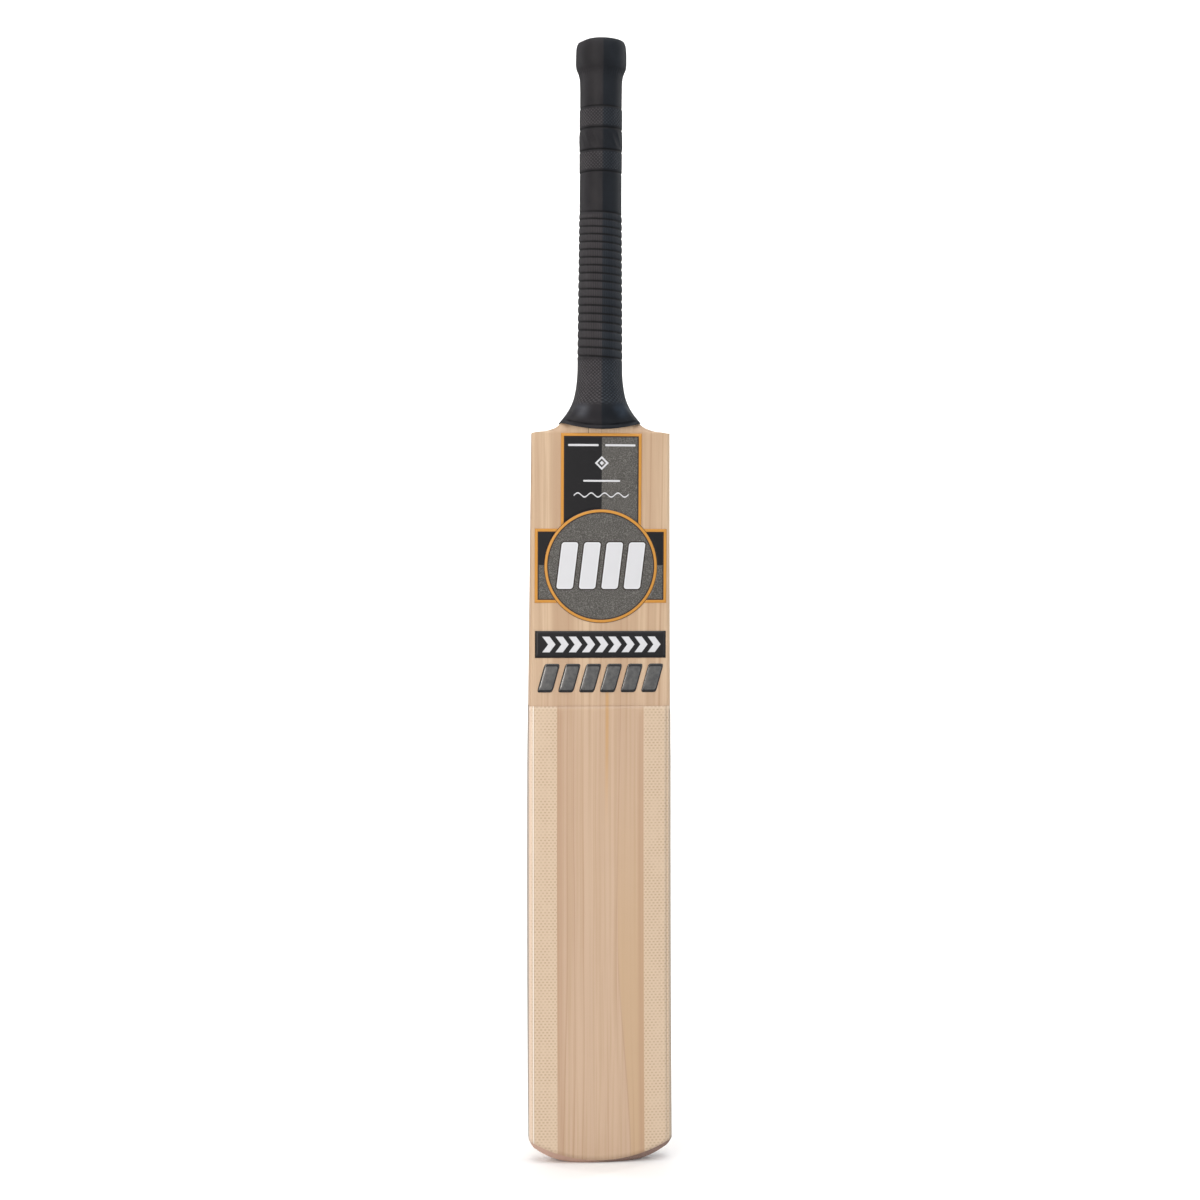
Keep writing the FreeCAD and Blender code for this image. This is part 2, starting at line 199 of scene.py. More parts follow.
class Nodes:
    # short calls for building a node tree
    def __init__(self, tree):
        self.tree = tree

    def add(self, kind, **settings):
        node = self.tree.nodes.new(kind)
        for key, value in settings.items():
            setattr(node, key, value)
        return node

    def link(self, source, socket):
        if isinstance(source, (int, float, tuple)):
            socket.default_value = source
        else:
            self.tree.links.new(source, socket)

    def math(self, operation, *values, clamp=False):
        node = self.add("ShaderNodeMath", operation=operation, use_clamp=clamp)
        for value, socket in zip(values, node.inputs):
            self.link(value, socket)
        return node.outputs[0]

    def times(self, first, second, clamp=False):
        return self.math("MULTIPLY", first, second, clamp=clamp)

    def plus(self, first, second, clamp=False):
        return self.math("ADD", first, second, clamp=clamp)

    def minus(self, first, second):
        return self.math("SUBTRACT", first, second)

    def over(self, first, second, clamp=False):
        return self.math("DIVIDE", first, second, clamp=clamp)

    def most(self, first, second):
        return self.math("MAXIMUM", first, second)

    def size(self, value):
        return self.math("ABSOLUTE", value)

    def step(self, value, low, high):
        # 0 below low and 1 above high, smooth between
        node = self.add("ShaderNodeMapRange", interpolation_type="SMOOTHSTEP")
        for source, socket in zip((value, low, high, 0.0, 1.0), node.inputs):
            self.link(source, socket)
        return node.outputs[0]

    def mix(self, factor, first, second):
        node = self.add("ShaderNodeMix", data_type="RGBA")
        self.link(factor, node.inputs["Factor"])
        self.link(first, node.inputs["A"])
        self.link(second, node.inputs["B"])
        return node.outputs["Result"]

    def noise(self, vector, scale, detail=2.0, rough=0.5, distortion=0.0):
        node = self.add("ShaderNodeTexNoise")
        self.link(vector, node.inputs["Vector"])
        node.inputs["Scale"].default_value = scale
        node.inputs["Detail"].default_value = detail
        node.inputs["Roughness"].default_value = rough
        node.inputs["Distortion"].default_value = distortion
        return node.outputs["Fac"]

    def stretched(self, vector, scale):
        node = self.add("ShaderNodeMapping")
        self.link(vector, node.inputs["Vector"])
        node.inputs["Scale"].default_value = scale
        return node.outputs["Vector"]

    def group(self, name, **inputs):
        node = self.add("ShaderNodeGroup")
        node.node_tree = bpy.data.node_groups[name]
        for key, value in inputs.items():
            self.link(value, node.inputs[key])
        return node.outputs


def newGroup(name, inputs, outputs):
    tree = bpy.data.node_groups.new(name, "ShaderNodeTree")
    for label, kind, value in inputs:
        socket = tree.interface.new_socket(label, in_out="INPUT", socket_type=kind)
        if value is not None:
            socket.default_value = value
    for label, kind in outputs:
        tree.interface.new_socket(label, in_out="OUTPUT", socket_type=kind)
    nodes = Nodes(tree)
    return nodes, nodes.add("NodeGroupInput").outputs, nodes.add("NodeGroupOutput").inputs


def newMaterial(name):
    material = bpy.data.materials.new(name)
    material.use_nodes = True
    nodes = Nodes(material.node_tree)
    shader = material.node_tree.nodes["Principled BSDF"]
    return material, nodes, shader


def objectXyz(nodes):
    # object coordinates in millimetres, whole and split
    vector = nodes.stretched(nodes.add("ShaderNodeTexCoord").outputs["Object"], (1000, 1000, 1000))
    split = nodes.add("ShaderNodeSeparateXYZ")
    nodes.link(vector, split.inputs[0])
    return vector, split.outputs[0], split.outputs[1], split.outputs[2]


def bump(nodes, shader, height, strength, distance):
    node = nodes.add("ShaderNodeBump")
    node.inputs["Strength"].default_value = strength
    node.inputs["Distance"].default_value = distance
    nodes.link(height, node.inputs["Height"])
    nodes.link(node.outputs["Normal"], shader.inputs["Normal"])


def makeGroups():
    # fibreGrain: long streaks along Z, from fine fibres to broad tones
    nodes, inside, out = newGroup(
        "fibreGrain",
        [("Vector", "NodeSocketVector", None), ("Fibre Pitch", "NodeSocketFloat", 0.9),
         ("Ring Pitch", "NodeSocketFloat", 9.0), ("Waver", "NodeSocketFloat", 1.5)],
        [("Fibre", "NodeSocketFloat"), ("Ring", "NodeSocketFloat"), ("Tone", "NodeSocketFloat")])
    split = nodes.add("ShaderNodeSeparateXYZ")
    nodes.link(inside["Vector"], split.inputs[0])
    waverNoise = nodes.noise(nodes.stretched(inside["Vector"], (0.008, 0.008, 0.0035)), 1.0, 2.0)
    waver = nodes.times(nodes.minus(waverNoise, 0.5), inside["Waver"])
    across = nodes.plus(split.outputs[0], nodes.times(waver, 10.0))
    depth = nodes.times(split.outputs[1], 0.35)
    slow = nodes.times(split.outputs[2], 0.0022)

    def streaks(pitch, detail, shift):
        combine = nodes.add("ShaderNodeCombineXYZ")
        nodes.link(nodes.plus(nodes.over(across, pitch), shift), combine.inputs[0])
        nodes.link(nodes.over(depth, pitch), combine.inputs[1])
        nodes.link(slow, combine.inputs[2])
        return nodes.noise(combine.outputs[0], 1.0, detail, 0.6)

    nodes.link(streaks(inside["Fibre Pitch"], 3.0, 3.1), out["Fibre"])
    # growth lines: nearly straight, unevenly spaced, each darkest on one side
    uneven = nodes.times(streaks(22.0, 1.0, 17.0), 2.2)
    phase = nodes.math("FRACT", nodes.plus(nodes.over(across, inside["Ring Pitch"]), uneven))
    weight = nodes.step(streaks(13.0, 1.0, 5.0), 0.35, 0.62)
    nodes.link(nodes.times(nodes.math("POWER", phase, 9.0), weight), out["Ring"])
    nodes.link(streaks(15.0, 1.5, 41.0), out["Tone"])

    # printSpeckle: the fine glitter of metallic ink and a slow cloud under it
    nodes, inside, out = newGroup(
        "printSpeckle", [("Vector", "NodeSocketVector", None), ("Size", "NodeSocketFloat", 0.35)],
        [("Speckle", "NodeSocketFloat"), ("Cloud", "NodeSocketFloat")])
    scaled = nodes.add("ShaderNodeVectorMath", operation="SCALE")
    nodes.link(inside["Vector"], scaled.inputs[0])
    nodes.link(nodes.over(1.0, inside["Size"]), scaled.inputs["Scale"])
    nodes.link(nodes.noise(scaled.outputs[0], 1.0, 2.0, 0.7), out["Speckle"])
    nodes.link(nodes.noise(inside["Vector"], 0.06, 2.0), out["Cloud"])

    # edgeBand: 1 inside a band between two distances, with soft sides
    nodes, inside, out = newGroup(
        "edgeBand",
        [("Distance", "NodeSocketFloat", 0.0), ("From", "NodeSocketFloat", 0.0),
         ("To", "NodeSocketFloat", 2.0), ("Soft", "NodeSocketFloat", 0.12)],
        [("Mask", "NodeSocketFloat")])
    rise = nodes.over(nodes.minus(inside["Distance"], inside["From"]), inside["Soft"],
                      clamp=True)
    fall = nodes.over(nodes.minus(inside["To"], inside["Distance"]), inside["Soft"],
                      clamp=True)
    nodes.link(nodes.times(rise, fall), out["Mask"])

    # slantBox: distance from the edge of a leaning box with round corners, positive inside
    nodes, inside, out = newGroup(
        "slantBox",
        [("Across", "NodeSocketFloat", 0.0), ("Up", "NodeSocketFloat", 0.0),
         ("Half Width", "NodeSocketFloat", 5.0), ("Half Height", "NodeSocketFloat", 5.0),
         ("Lean", "NodeSocketFloat", 0.0), ("Corner", "NodeSocketFloat", 1.0)],
        [("Inside", "NodeSocketFloat")])
    leaned = nodes.minus(inside["Across"], nodes.times(inside["Up"], inside["Lean"]))
    overX = nodes.plus(nodes.minus(nodes.size(leaned), inside["Half Width"]),
                       inside["Corner"])
    overZ = nodes.plus(nodes.minus(nodes.size(inside["Up"]),
                                         inside["Half Height"]), inside["Corner"])
    outX = nodes.most(overX, 0.0)
    outZ = nodes.most(overZ, 0.0)
    corner = nodes.math("SQRT", nodes.plus(nodes.times(outX, outX),
                                           nodes.times(outZ, outZ)))
    inner = nodes.math("MINIMUM", nodes.most(overX, overZ), 0.0)
    signed = nodes.minus(nodes.plus(corner, inner), inside["Corner"])
    nodes.link(nodes.times(signed, -1.0), out["Inside"])


makeGroups()
print("shared node groups built")


film = {
    "top": 344 * mm,
    "sheetHalf": 50.5 * mm,
    "tapeInner": 33 * mm,
    # painted light and shade: the tape's wrap round the left edge is lit, round the right edge shaded
    "wrapLitTint": (0.84, 0.66, 0.53, 1),
    "wrapShadeTint": (0.42, 0.335, 0.26, 1),
    "tapeLift": 0.24 * mm,
    "sheetLift": 0.46 * mm,
}

willow = {
    "pale": (0.64, 0.47, 0.315, 1),
    "deep": (0.51, 0.345, 0.222, 1),
    "ring": (0.43, 0.255, 0.155, 1),
    "pink": (0.565, 0.40, 0.285, 1),
    "tan": (0.55, 0.375, 0.225, 1),
    "resin": (0.56, 0.32, 0.13, 1),
    # painted light and shade: shaded and lit copies of the toe's end grain
    "endGrainShade": (0.19, 0.125, 0.105, 1),
    "endGrainLit": (0.52, 0.34, 0.265, 1),
    "thread": (0.68, 0.535, 0.39, 1),
    "threadGap": (0.42, 0.285, 0.175, 1),
    # painted highlight along the tape's left front corner
    "paintedCornerHighlight": (0.93, 0.86, 0.78, 1),
    "resinStrength": 0.8,
    "resinX": 5.0,                 # mm, at the sheet's top edge
    "heartX": 13.0,                # mm, left side of the heartwood high up
    "heartSpread": 9.5,            # mm, how far it has moved right at the toe
    "gapStrength": 0.62,
    "threadAcross": 3.0,           # mm
    "threadUp": 2.1,
    "fibrePitch": 1.9,
    "ringPitch": 6.5,
    "roughness": 0.48,
}


def makeWillowGroups():
    # willowFigure: the wood's colour and fibre by place on the bat
    nodes, inside, out = newGroup(
        "willowFigure", [("Vector", "NodeSocketVector", None)],
        [("Colour", "NodeSocketColor"), ("Fibre", "NodeSocketFloat"), ("Ring", "NodeSocketFloat")])
    split = nodes.add("ShaderNodeSeparateXYZ")
    nodes.link(inside["Vector"], split.inputs[0])
    x, z = split.outputs[0], split.outputs[2]
    grain = nodes.group("fibreGrain", Vector=inside["Vector"], **{
        "Fibre Pitch": willow["fibrePitch"], "Ring Pitch": willow["ringPitch"], "Waver": 0.45})
    colour = nodes.mix(nodes.step(grain["Tone"], 0.35, 0.65), willow["pale"], willow["deep"])
    colour = nodes.mix(nodes.times(nodes.step(z, 390.0, 320.0), 0.7), colour, willow["pink"])
    colour = nodes.mix(nodes.times(nodes.step(grain["Fibre"], 0.42, 0.68), 0.75), colour, willow["deep"])
    # a warm band of heartwood on the right, its left side curving out towards the toe
    bandLeft = nodes.plus(willow["heartX"], nodes.times(nodes.step(z, 175.0, 0.0), willow["heartSpread"]))
    heart = nodes.times(nodes.step(nodes.minus(x, bandLeft), -0.3, 0.6),
                       nodes.step(x, 40.0, 30.0))
    heart = nodes.times(heart, nodes.times(nodes.step(z, 330.0, 120.0), 0.8))
    colour = nodes.mix(heart, colour, willow["tan"])
    ridge = nodes.group("edgeBand", Distance=nodes.minus(x, bandLeft), From=-0.9, To=0.5, Soft=0.5)
    edgeShade = nodes.times(ridge["Mask"], nodes.times(nodes.step(z, 260.0, 60.0), 0.45))
    colour = nodes.mix(edgeShade, colour, willow["ring"])
    colour = nodes.mix(nodes.times(grain["Ring"], 0.8), colour, willow["ring"])
    # darker wood lines along the inner edges of the tapes
    inner = nodes.minus(film["tapeInner"] / mm, nodes.size(x))
    line = nodes.group("edgeBand", Distance=inner, From=0.0, To=5.5, Soft=2.0)["Mask"]
    line = nodes.times(line, nodes.times(nodes.step(z, 350.0, 335.0), 0.38))
    colour = nodes.mix(line, colour, willow["ring"])
    # a narrow resin streak that starts under the raised bars and fades downwards
    streakX = nodes.size(nodes.minus(x,
        nodes.plus(willow["resinX"], nodes.times(nodes.minus(z, 344.0), 0.006))))
    streak = nodes.times(nodes.step(streakX, 1.9, 0.3),
        nodes.times(nodes.step(z, 235.0, 340.0), nodes.step(z, 372.0, 350.0)))
    colour = nodes.mix(nodes.times(streak, willow["resinStrength"]), colour, willow["resin"])
    nodes.link(colour, out["Colour"])
    nodes.link(grain["Fibre"], out["Fibre"])
    nodes.link(grain["Ring"], out["Ring"])

    # lenoWeave: short threads in cells, every other row shifted by half a cell
    nodes, inside, out = newGroup(
        "lenoWeave",
        [("Vector", "NodeSocketVector", None), ("Across", "NodeSocketFloat", 0.0),
            ("Up", "NodeSocketFloat", 0.0)],
        [("Thread", "NodeSocketFloat"), ("Gap", "NodeSocketFloat")])
    row = nodes.math("FLOOR", nodes.over(inside["Up"], willow["threadUp"]))
    shift = nodes.times(nodes.math("MODULO", row, 2.0), 0.5)
    columnAt = nodes.math("FRACT", nodes.plus(nodes.over(inside["Across"], willow["threadAcross"]), shift))
    rowAt = nodes.math("FRACT", nodes.over(inside["Up"], willow["threadUp"]))
    hole = nodes.times(nodes.step(nodes.size(nodes.minus(columnAt, 0.5)), 0.38, 0.16),
                      nodes.step(nodes.size(nodes.minus(rowAt, 0.5)), 0.36, 0.14))
    uneven = nodes.step(nodes.noise(inside["Vector"], 0.1, 2.0), 0.3, 0.6)
    gap = nodes.times(hole, nodes.plus(0.45, nodes.times(uneven, 0.55)))
    nodes.link(gap, out["Gap"])
    nodes.link(nodes.minus(1.0, gap), out["Thread"])


makeWillowGroups()


def weaveColour(nodes, weave, figure):
    # pale threads over the wood, which shows through the gaps
    threads = nodes.mix(0.22, willow["thread"], figure["Colour"])
    return nodes.mix(nodes.times(weave["Gap"], willow["gapStrength"]), threads, willow["threadGap"])


def willowMaterial():
    material, nodes, shader = newMaterial("willow")
    vector, x, _, z = objectXyz(nodes)
    figure = nodes.group("willowFigure", Vector=vector)
    # bare end grain on the toe, below the curved line where the face stops
    root = nodes.math("SQRT", nodes.minus((blade["bevelRadius"] / mm) ** 2, nodes.times(x, x)))
    line = nodes.minus((blade["bevelZ"] + blade["bevelRadius"]) / mm, root)
    cut = nodes.step(nodes.minus(line, z), -0.05, 0.1)
    # painted light: the end grain is paler towards the left, where the light falls, and darker towards the
    # right, in shade; the noise adds uneven tone
    endToneAndLight = nodes.noise(nodes.stretched(vector, (1.2, 1.2, 0.2)), 1.0, 3.0)
    endToneAndLight = nodes.plus(nodes.minus(endToneAndLight, 0.3), nodes.step(x, 10.0, -25.0), clamp=True)
    colour = nodes.mix(cut, figure["Colour"], nodes.mix(endToneAndLight, willow["endGrainShade"], willow["endGrainLit"]))
    nodes.link(colour, shader.inputs["Base Color"])
    rough = nodes.plus(willow["roughness"], nodes.times(nodes.minus(figure["Fibre"], 0.5), 0.25))
    nodes.link(nodes.plus(rough, nodes.times(cut, 0.25)), shader.inputs["Roughness"])
    bump(nodes, shader, nodes.plus(figure["Fibre"], nodes.times(figure["Ring"], -0.3)), 0.2, 0.0002)
    return material


def spliceX(z):
    # half width of the V cut for the handle; nothing below its tip
    slope = (blade["spliceHalf"] - blade["spliceTipHalf"]) / (blade["lengthZ"] - blade["spliceTipZ"])
    ramp = np.clip((z - blade["spliceTipZ"] + 0.4 * mm) / (0.4 * mm), 0, 1)
    return ramp * (blade["spliceTipHalf"] + slope * np.maximum(z - blade["spliceTipZ"], 0))


def bladeGrids(mirror):
    # one half of the blade: face, edge, back, wall of the V, underside of the toe and top of the shoulder
    share = np.concatenate([np.linspace(0, 0.88, 15),
        0.88 + 0.12 * np.sin(np.linspace(0, np.pi / 2, 14)[1:])])
    tip = blade["spliceTipZ"]
    levels = np.concatenate([np.linspace(0, 60, 22) * mm, np.linspace(65, 395, 60) * mm,
                             [tip - 0.4 * mm, tip], np.linspace(406, 545, 26) * mm,
                             [548.5 * mm, blade["shoulderZ"]]])
    level = levels[:, None]
    cutX = spliceX(level)
    x = cutX + (sideX(level) - cutX) * share[None, :]
    z = bentZ(x, level)
    side = sideX(z)
    front = faceY(z) + frontDepth(x, side)
    back = faceY(z) + backDepth(x, z, side)
    sign = -1.0 if mirror else 1.0

    inset = np.maximum((bevelLine(x[0]) - toeLine(x[0])) / blade["bevelSlope"], 0.2 * mm)
    thick = back[0] - front[0]
    step = np.array([0, 0.03, 0.1, 0.25, 0.5, 0.75, 0.9, 0.97, 1])
    bevel = inset / thick
    across = np.concatenate([[np.zeros_like(bevel)], bevel + (1 - 2 * bevel) * step[:, None],
                             [np.ones_like(bevel)]])
    edgeShare = across[:, -1]
    toeX = np.broadcast_to(x[0], across.shape)
    toeY = front[0] + thick * across
    near = np.minimum(across, 1 - across) * thick
    toeZ = toeLine(toeX) + np.maximum(bevelLine(toeX) - toeLine(toeX) - blade["bevelSlope"] * near, 0)

    edgeY = front[:, -1:] + (back - front)[:, -1:] * edgeShare[None, :]
    edgeX = np.broadcast_to(x[:, -1:], edgeY.shape)
    edgeZ = np.broadcast_to(z[:, -1:], edgeY.shape)

    top = np.broadcast_to(edgeShare[:, None], (len(edgeShare), len(share)))
    topX = np.broadcast_to(x[-1], top.shape)
    topY = front[-1] + (back[-1] - front[-1]) * top
    # a place on the shoulder is as high as the neck's oval that passes through it
    axisY = faceY(blade["lengthZ"]) + handle["axisDepth"]
    inDepth = np.minimum(np.abs(topY - axisY) / blade["neckDepth"], 0.999)
    rise = np.interp(topX, blade["ogeeX"], blade["ogeeRise"])
    for _ in range(3):
        square = np.interp(rise, blade["neckRise"], blade["neckSquare"])
        reach = topX / (1 - inDepth ** square) ** (1 / square)
        rise = np.interp(reach, blade["ogeeX"], blade["ogeeRise"])
    rise = rise - blade["ogeeRise"][-1]
    topZ = blade["shoulderZ"] + rise * (1 - np.clip(2 * top - 1, 0, 1) ** 5) ** 0.4

    first = len(levels) - 26 - 2 - 2
    wallY = front[first:, :1] + (back - front)[first:, :1] * edgeShare[None, :]
    wallX = np.broadcast_to(x[first:, :1], wallY.shape)
    wallZ = np.broadcast_to(z[first:, :1], wallY.shape)
    wallX = np.vstack([wallX, topX[:, 0]])
    wallY = np.vstack([wallY, topY[:, 0]])
    wallZ = np.vstack([wallZ, topZ[:, 0]])
    grids = [(x, front, z), (x, back, z), (edgeX, edgeY, edgeZ), (toeX, toeY, toeZ),
             (topX, topY, topZ), (wallX, wallY, wallZ)]
    return [(sign * gx, gy, gz) for gx, gy, gz in grids]


def makeBlade():
    return addPiece("willow_blade", bladeGrids(False) + bladeGrids(True), ["blade"],
                    willowMaterial(), sharpAngle=32)


makeBlade()
print("blade done")


cane = {
    "pale": (0.60, 0.435, 0.29, 1),
    "dark": (0.50, 0.345, 0.22, 1),
    "joints": ((-10.0, 0.9), (0.0, 0.25), (10.0, 0.1)),
    "joint": (0.10, 0.055, 0.03, 1),
    "jointHalf": 0.22,             # mm
}

strip = {"dark": (0.02, 0.018, 0.016, 1), "light": (0.07, 0.06, 0.05, 1)}

twine = {
    "between": (0.16, 0.11, 0.06, 1),
    "thread": (0.55, 0.42, 0.27, 1),
    "wax": (0.35, 0.26, 0.16, 1),
    "pitch": 0.9,                  # mm from turn to turn
    "axisY": -7.0,                 # mm
}


def caneMaterial():
    material, nodes, shader = newMaterial("cane")
    vector, x, _, z = objectXyz(nodes)
    figure = nodes.group("willowFigure", Vector=vector)
    grain = nodes.group("fibreGrain", Vector=vector,
        **{"Fibre Pitch": 0.45, "Ring Pitch": 5.0, "Waver": 0.3})
    streaky = nodes.mix(nodes.step(grain["Fibre"], 0.35, 0.7), cane["pale"], cane["dark"])
    colour = nodes.mix(nodes.times(nodes.step(z, 540.0, 556.0), 0.8), figure["Colour"], streaky)
    # glue lines between canes, the left one dark and the others faint, gone further down the splice
    jointMask = 0.0
    for place, strength in cane["joints"]:
        away = nodes.size(nodes.minus(x, place))
        line = nodes.times(nodes.step(away, cane["jointHalf"] + 0.2, cane["jointHalf"] - 0.1), strength)
        jointMask = nodes.most(line, jointMask)
    jointMask = nodes.times(jointMask, nodes.step(z, 520.0, 545.0))
    colour = nodes.mix(jointMask, colour, cane["joint"])
    nodes.link(colour, shader.inputs["Base Color"])
    nodes.link(nodes.plus(0.45, nodes.times(grain["Fibre"], 0.2)), shader.inputs["Roughness"])
    bump(nodes, shader, nodes.minus(grain["Fibre"], jointMask), 0.3, 0.0002)
    return material


def stripMaterial():
    material, nodes, shader = newMaterial("strip_rubber")
    vector = objectXyz(nodes)[0]
    speckle = nodes.group("printSpeckle", Vector=vector, Size=0.6)
    colour = nodes.mix(speckle["Speckle"], strip["dark"], strip["light"])
    nodes.link(colour, shader.inputs["Base Color"])
    nodes.link(nodes.plus(0.6, nodes.times(speckle["Cloud"], 0.3)), shader.inputs["Roughness"])
    bump(nodes, shader, speckle["Speckle"], 0.2, 0.0001)
    return material


def twineMaterial():
    material, nodes, shader = newMaterial("twine")
    vector, x, y, z = objectXyz(nodes)
    turn = nodes.math("ARCTAN2", nodes.minus(y, twine["axisY"]), x)
    phase = nodes.math("FRACT", nodes.plus(nodes.over(z, twine["pitch"]), nodes.over(turn, 2 * math.pi)))
    thread = nodes.math("SINE", nodes.times(phase, math.pi))
    speckle = nodes.group("printSpeckle", Vector=vector, Size=0.5)
    # painted light and shade: each turn is lighter along its middle and darker towards the gaps between
    # turns, where shade falls
    colour = nodes.mix(thread, twine["between"], twine["thread"])
    colour = nodes.mix(nodes.times(speckle["Speckle"], 0.3), colour, twine["wax"])
    nodes.link(colour, shader.inputs["Base Color"])
    nodes.link(nodes.minus(0.8, nodes.times(thread, 0.25)), shader.inputs["Roughness"])
    bump(nodes, shader, thread, 0.8, 0.0004)
    return material


def finishInnerPieces():
    finishes = {"cane_": caneMaterial(), "rubber_strip": stripMaterial(), "twine": twineMaterial()}
    for name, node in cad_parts.items():
        for start, material in finishes.items():
            if name.startswith(start):
                node.data.materials.clear()
                node.data.materials.append(material)


finishInnerPieces()
print("canes, strips and twine finished")


grip = {
    "turns": 200,                  # columns round the sleeve
    "skirtH": np.array([-1, 3, 7.6, 10.3, 13.3, 16.4, 19.4, 22.4, 26, 31.5, 37, 43.6, 56]) * mm,
    "skirtHalf": np.array([38.5, 34.6, 31.1, 29, 26.6, 24.5, 22.7, 21.3, 20, 18.7, 17.9, 17.3, 17.0]) * mm,
    "skirtDeep": np.array([
        19.6, 19.6, 19.6, 19.5, 19.3, 19, 18.8, 18.6, 18.4, 18.3, 18.2, 18.1, 18.3]) * mm,
    "skirtSquare": np.array([4.4, 4.3, 4.1, 3.7, 3.4, 3.1, 2.9, 2.7, 2.4, 2.2, 2.1, 2.0, 2.0]),
    "barrelH": np.array([56, 57, 162.8, 165.6, 194.8, 195.6, 196.8, 210.6, 211.6, 213, 226.8, 228,
                         229.3, 242.7, 243.9, 245.3, 257.4]) * mm,
    "barrelHalf": np.array([17.0, 17.1, 16.15, 15.9, 15.8, 15.5, 16.05, 16.1, 15.55, 16.15, 16.1, 15.55,
                            16.1, 16.1, 15.5, 15.75, 15.8]) * mm,
    "collarH": np.array([257.4, 265.5, 268.5, 270.8, 273.1, 276, 281, 286, 290, 292.5, 293.8, 294.2]) * mm,
    "collarHalf": np.array([15.8, 16.1, 16.55, 17.25, 18.4, 19.0, 19.1, 19.0, 18.6, 17.8, 16.6, 15.2]) * mm,
    "deeper": 1.3 * mm,
    "rimFront": 3 * mm,
    "rimDip": 5 * mm,
    "rimHalf": 31 * mm,
    "wall": 1.3 * mm,
    "grooveLow": 57.3 * mm,        # height of the lowest groove at the front
    "grooveHigh": 165.5 * mm,
    "grooveTurns": 18,
    "grooveDepth": 0.5 * mm,
    "ribSwell": 0.14 * mm,
    "dark": (0.0105, 0.0108, 0.013, 1),
    "light": (0.07, 0.069, 0.072, 1),
    "grooveShade": (0.002, 0.002, 0.003, 1),
    # painted highlight colour for two patches on the skirt
    "skirtHighlight": (0.08, 0.092, 0.108, 1),
    "knurlPitch": 2.6,             # mm
    "skirtHighlightX": 15.0,               # mm from the middle of the skirt
    # painted light and shade: a lit, faintly warm tint for the left half and a shaded, cooler, darker tint
    # for the right half
    "litHalfTint": (1.0, 0.93, 0.96, 1),
    "shadedHalfTint": (0.45, 0.56, 0.69, 1),
    "shine": 0.2,
    "mouthHalf": 12.95 * mm,
    "mouthDeep": 14.55 * mm,
}


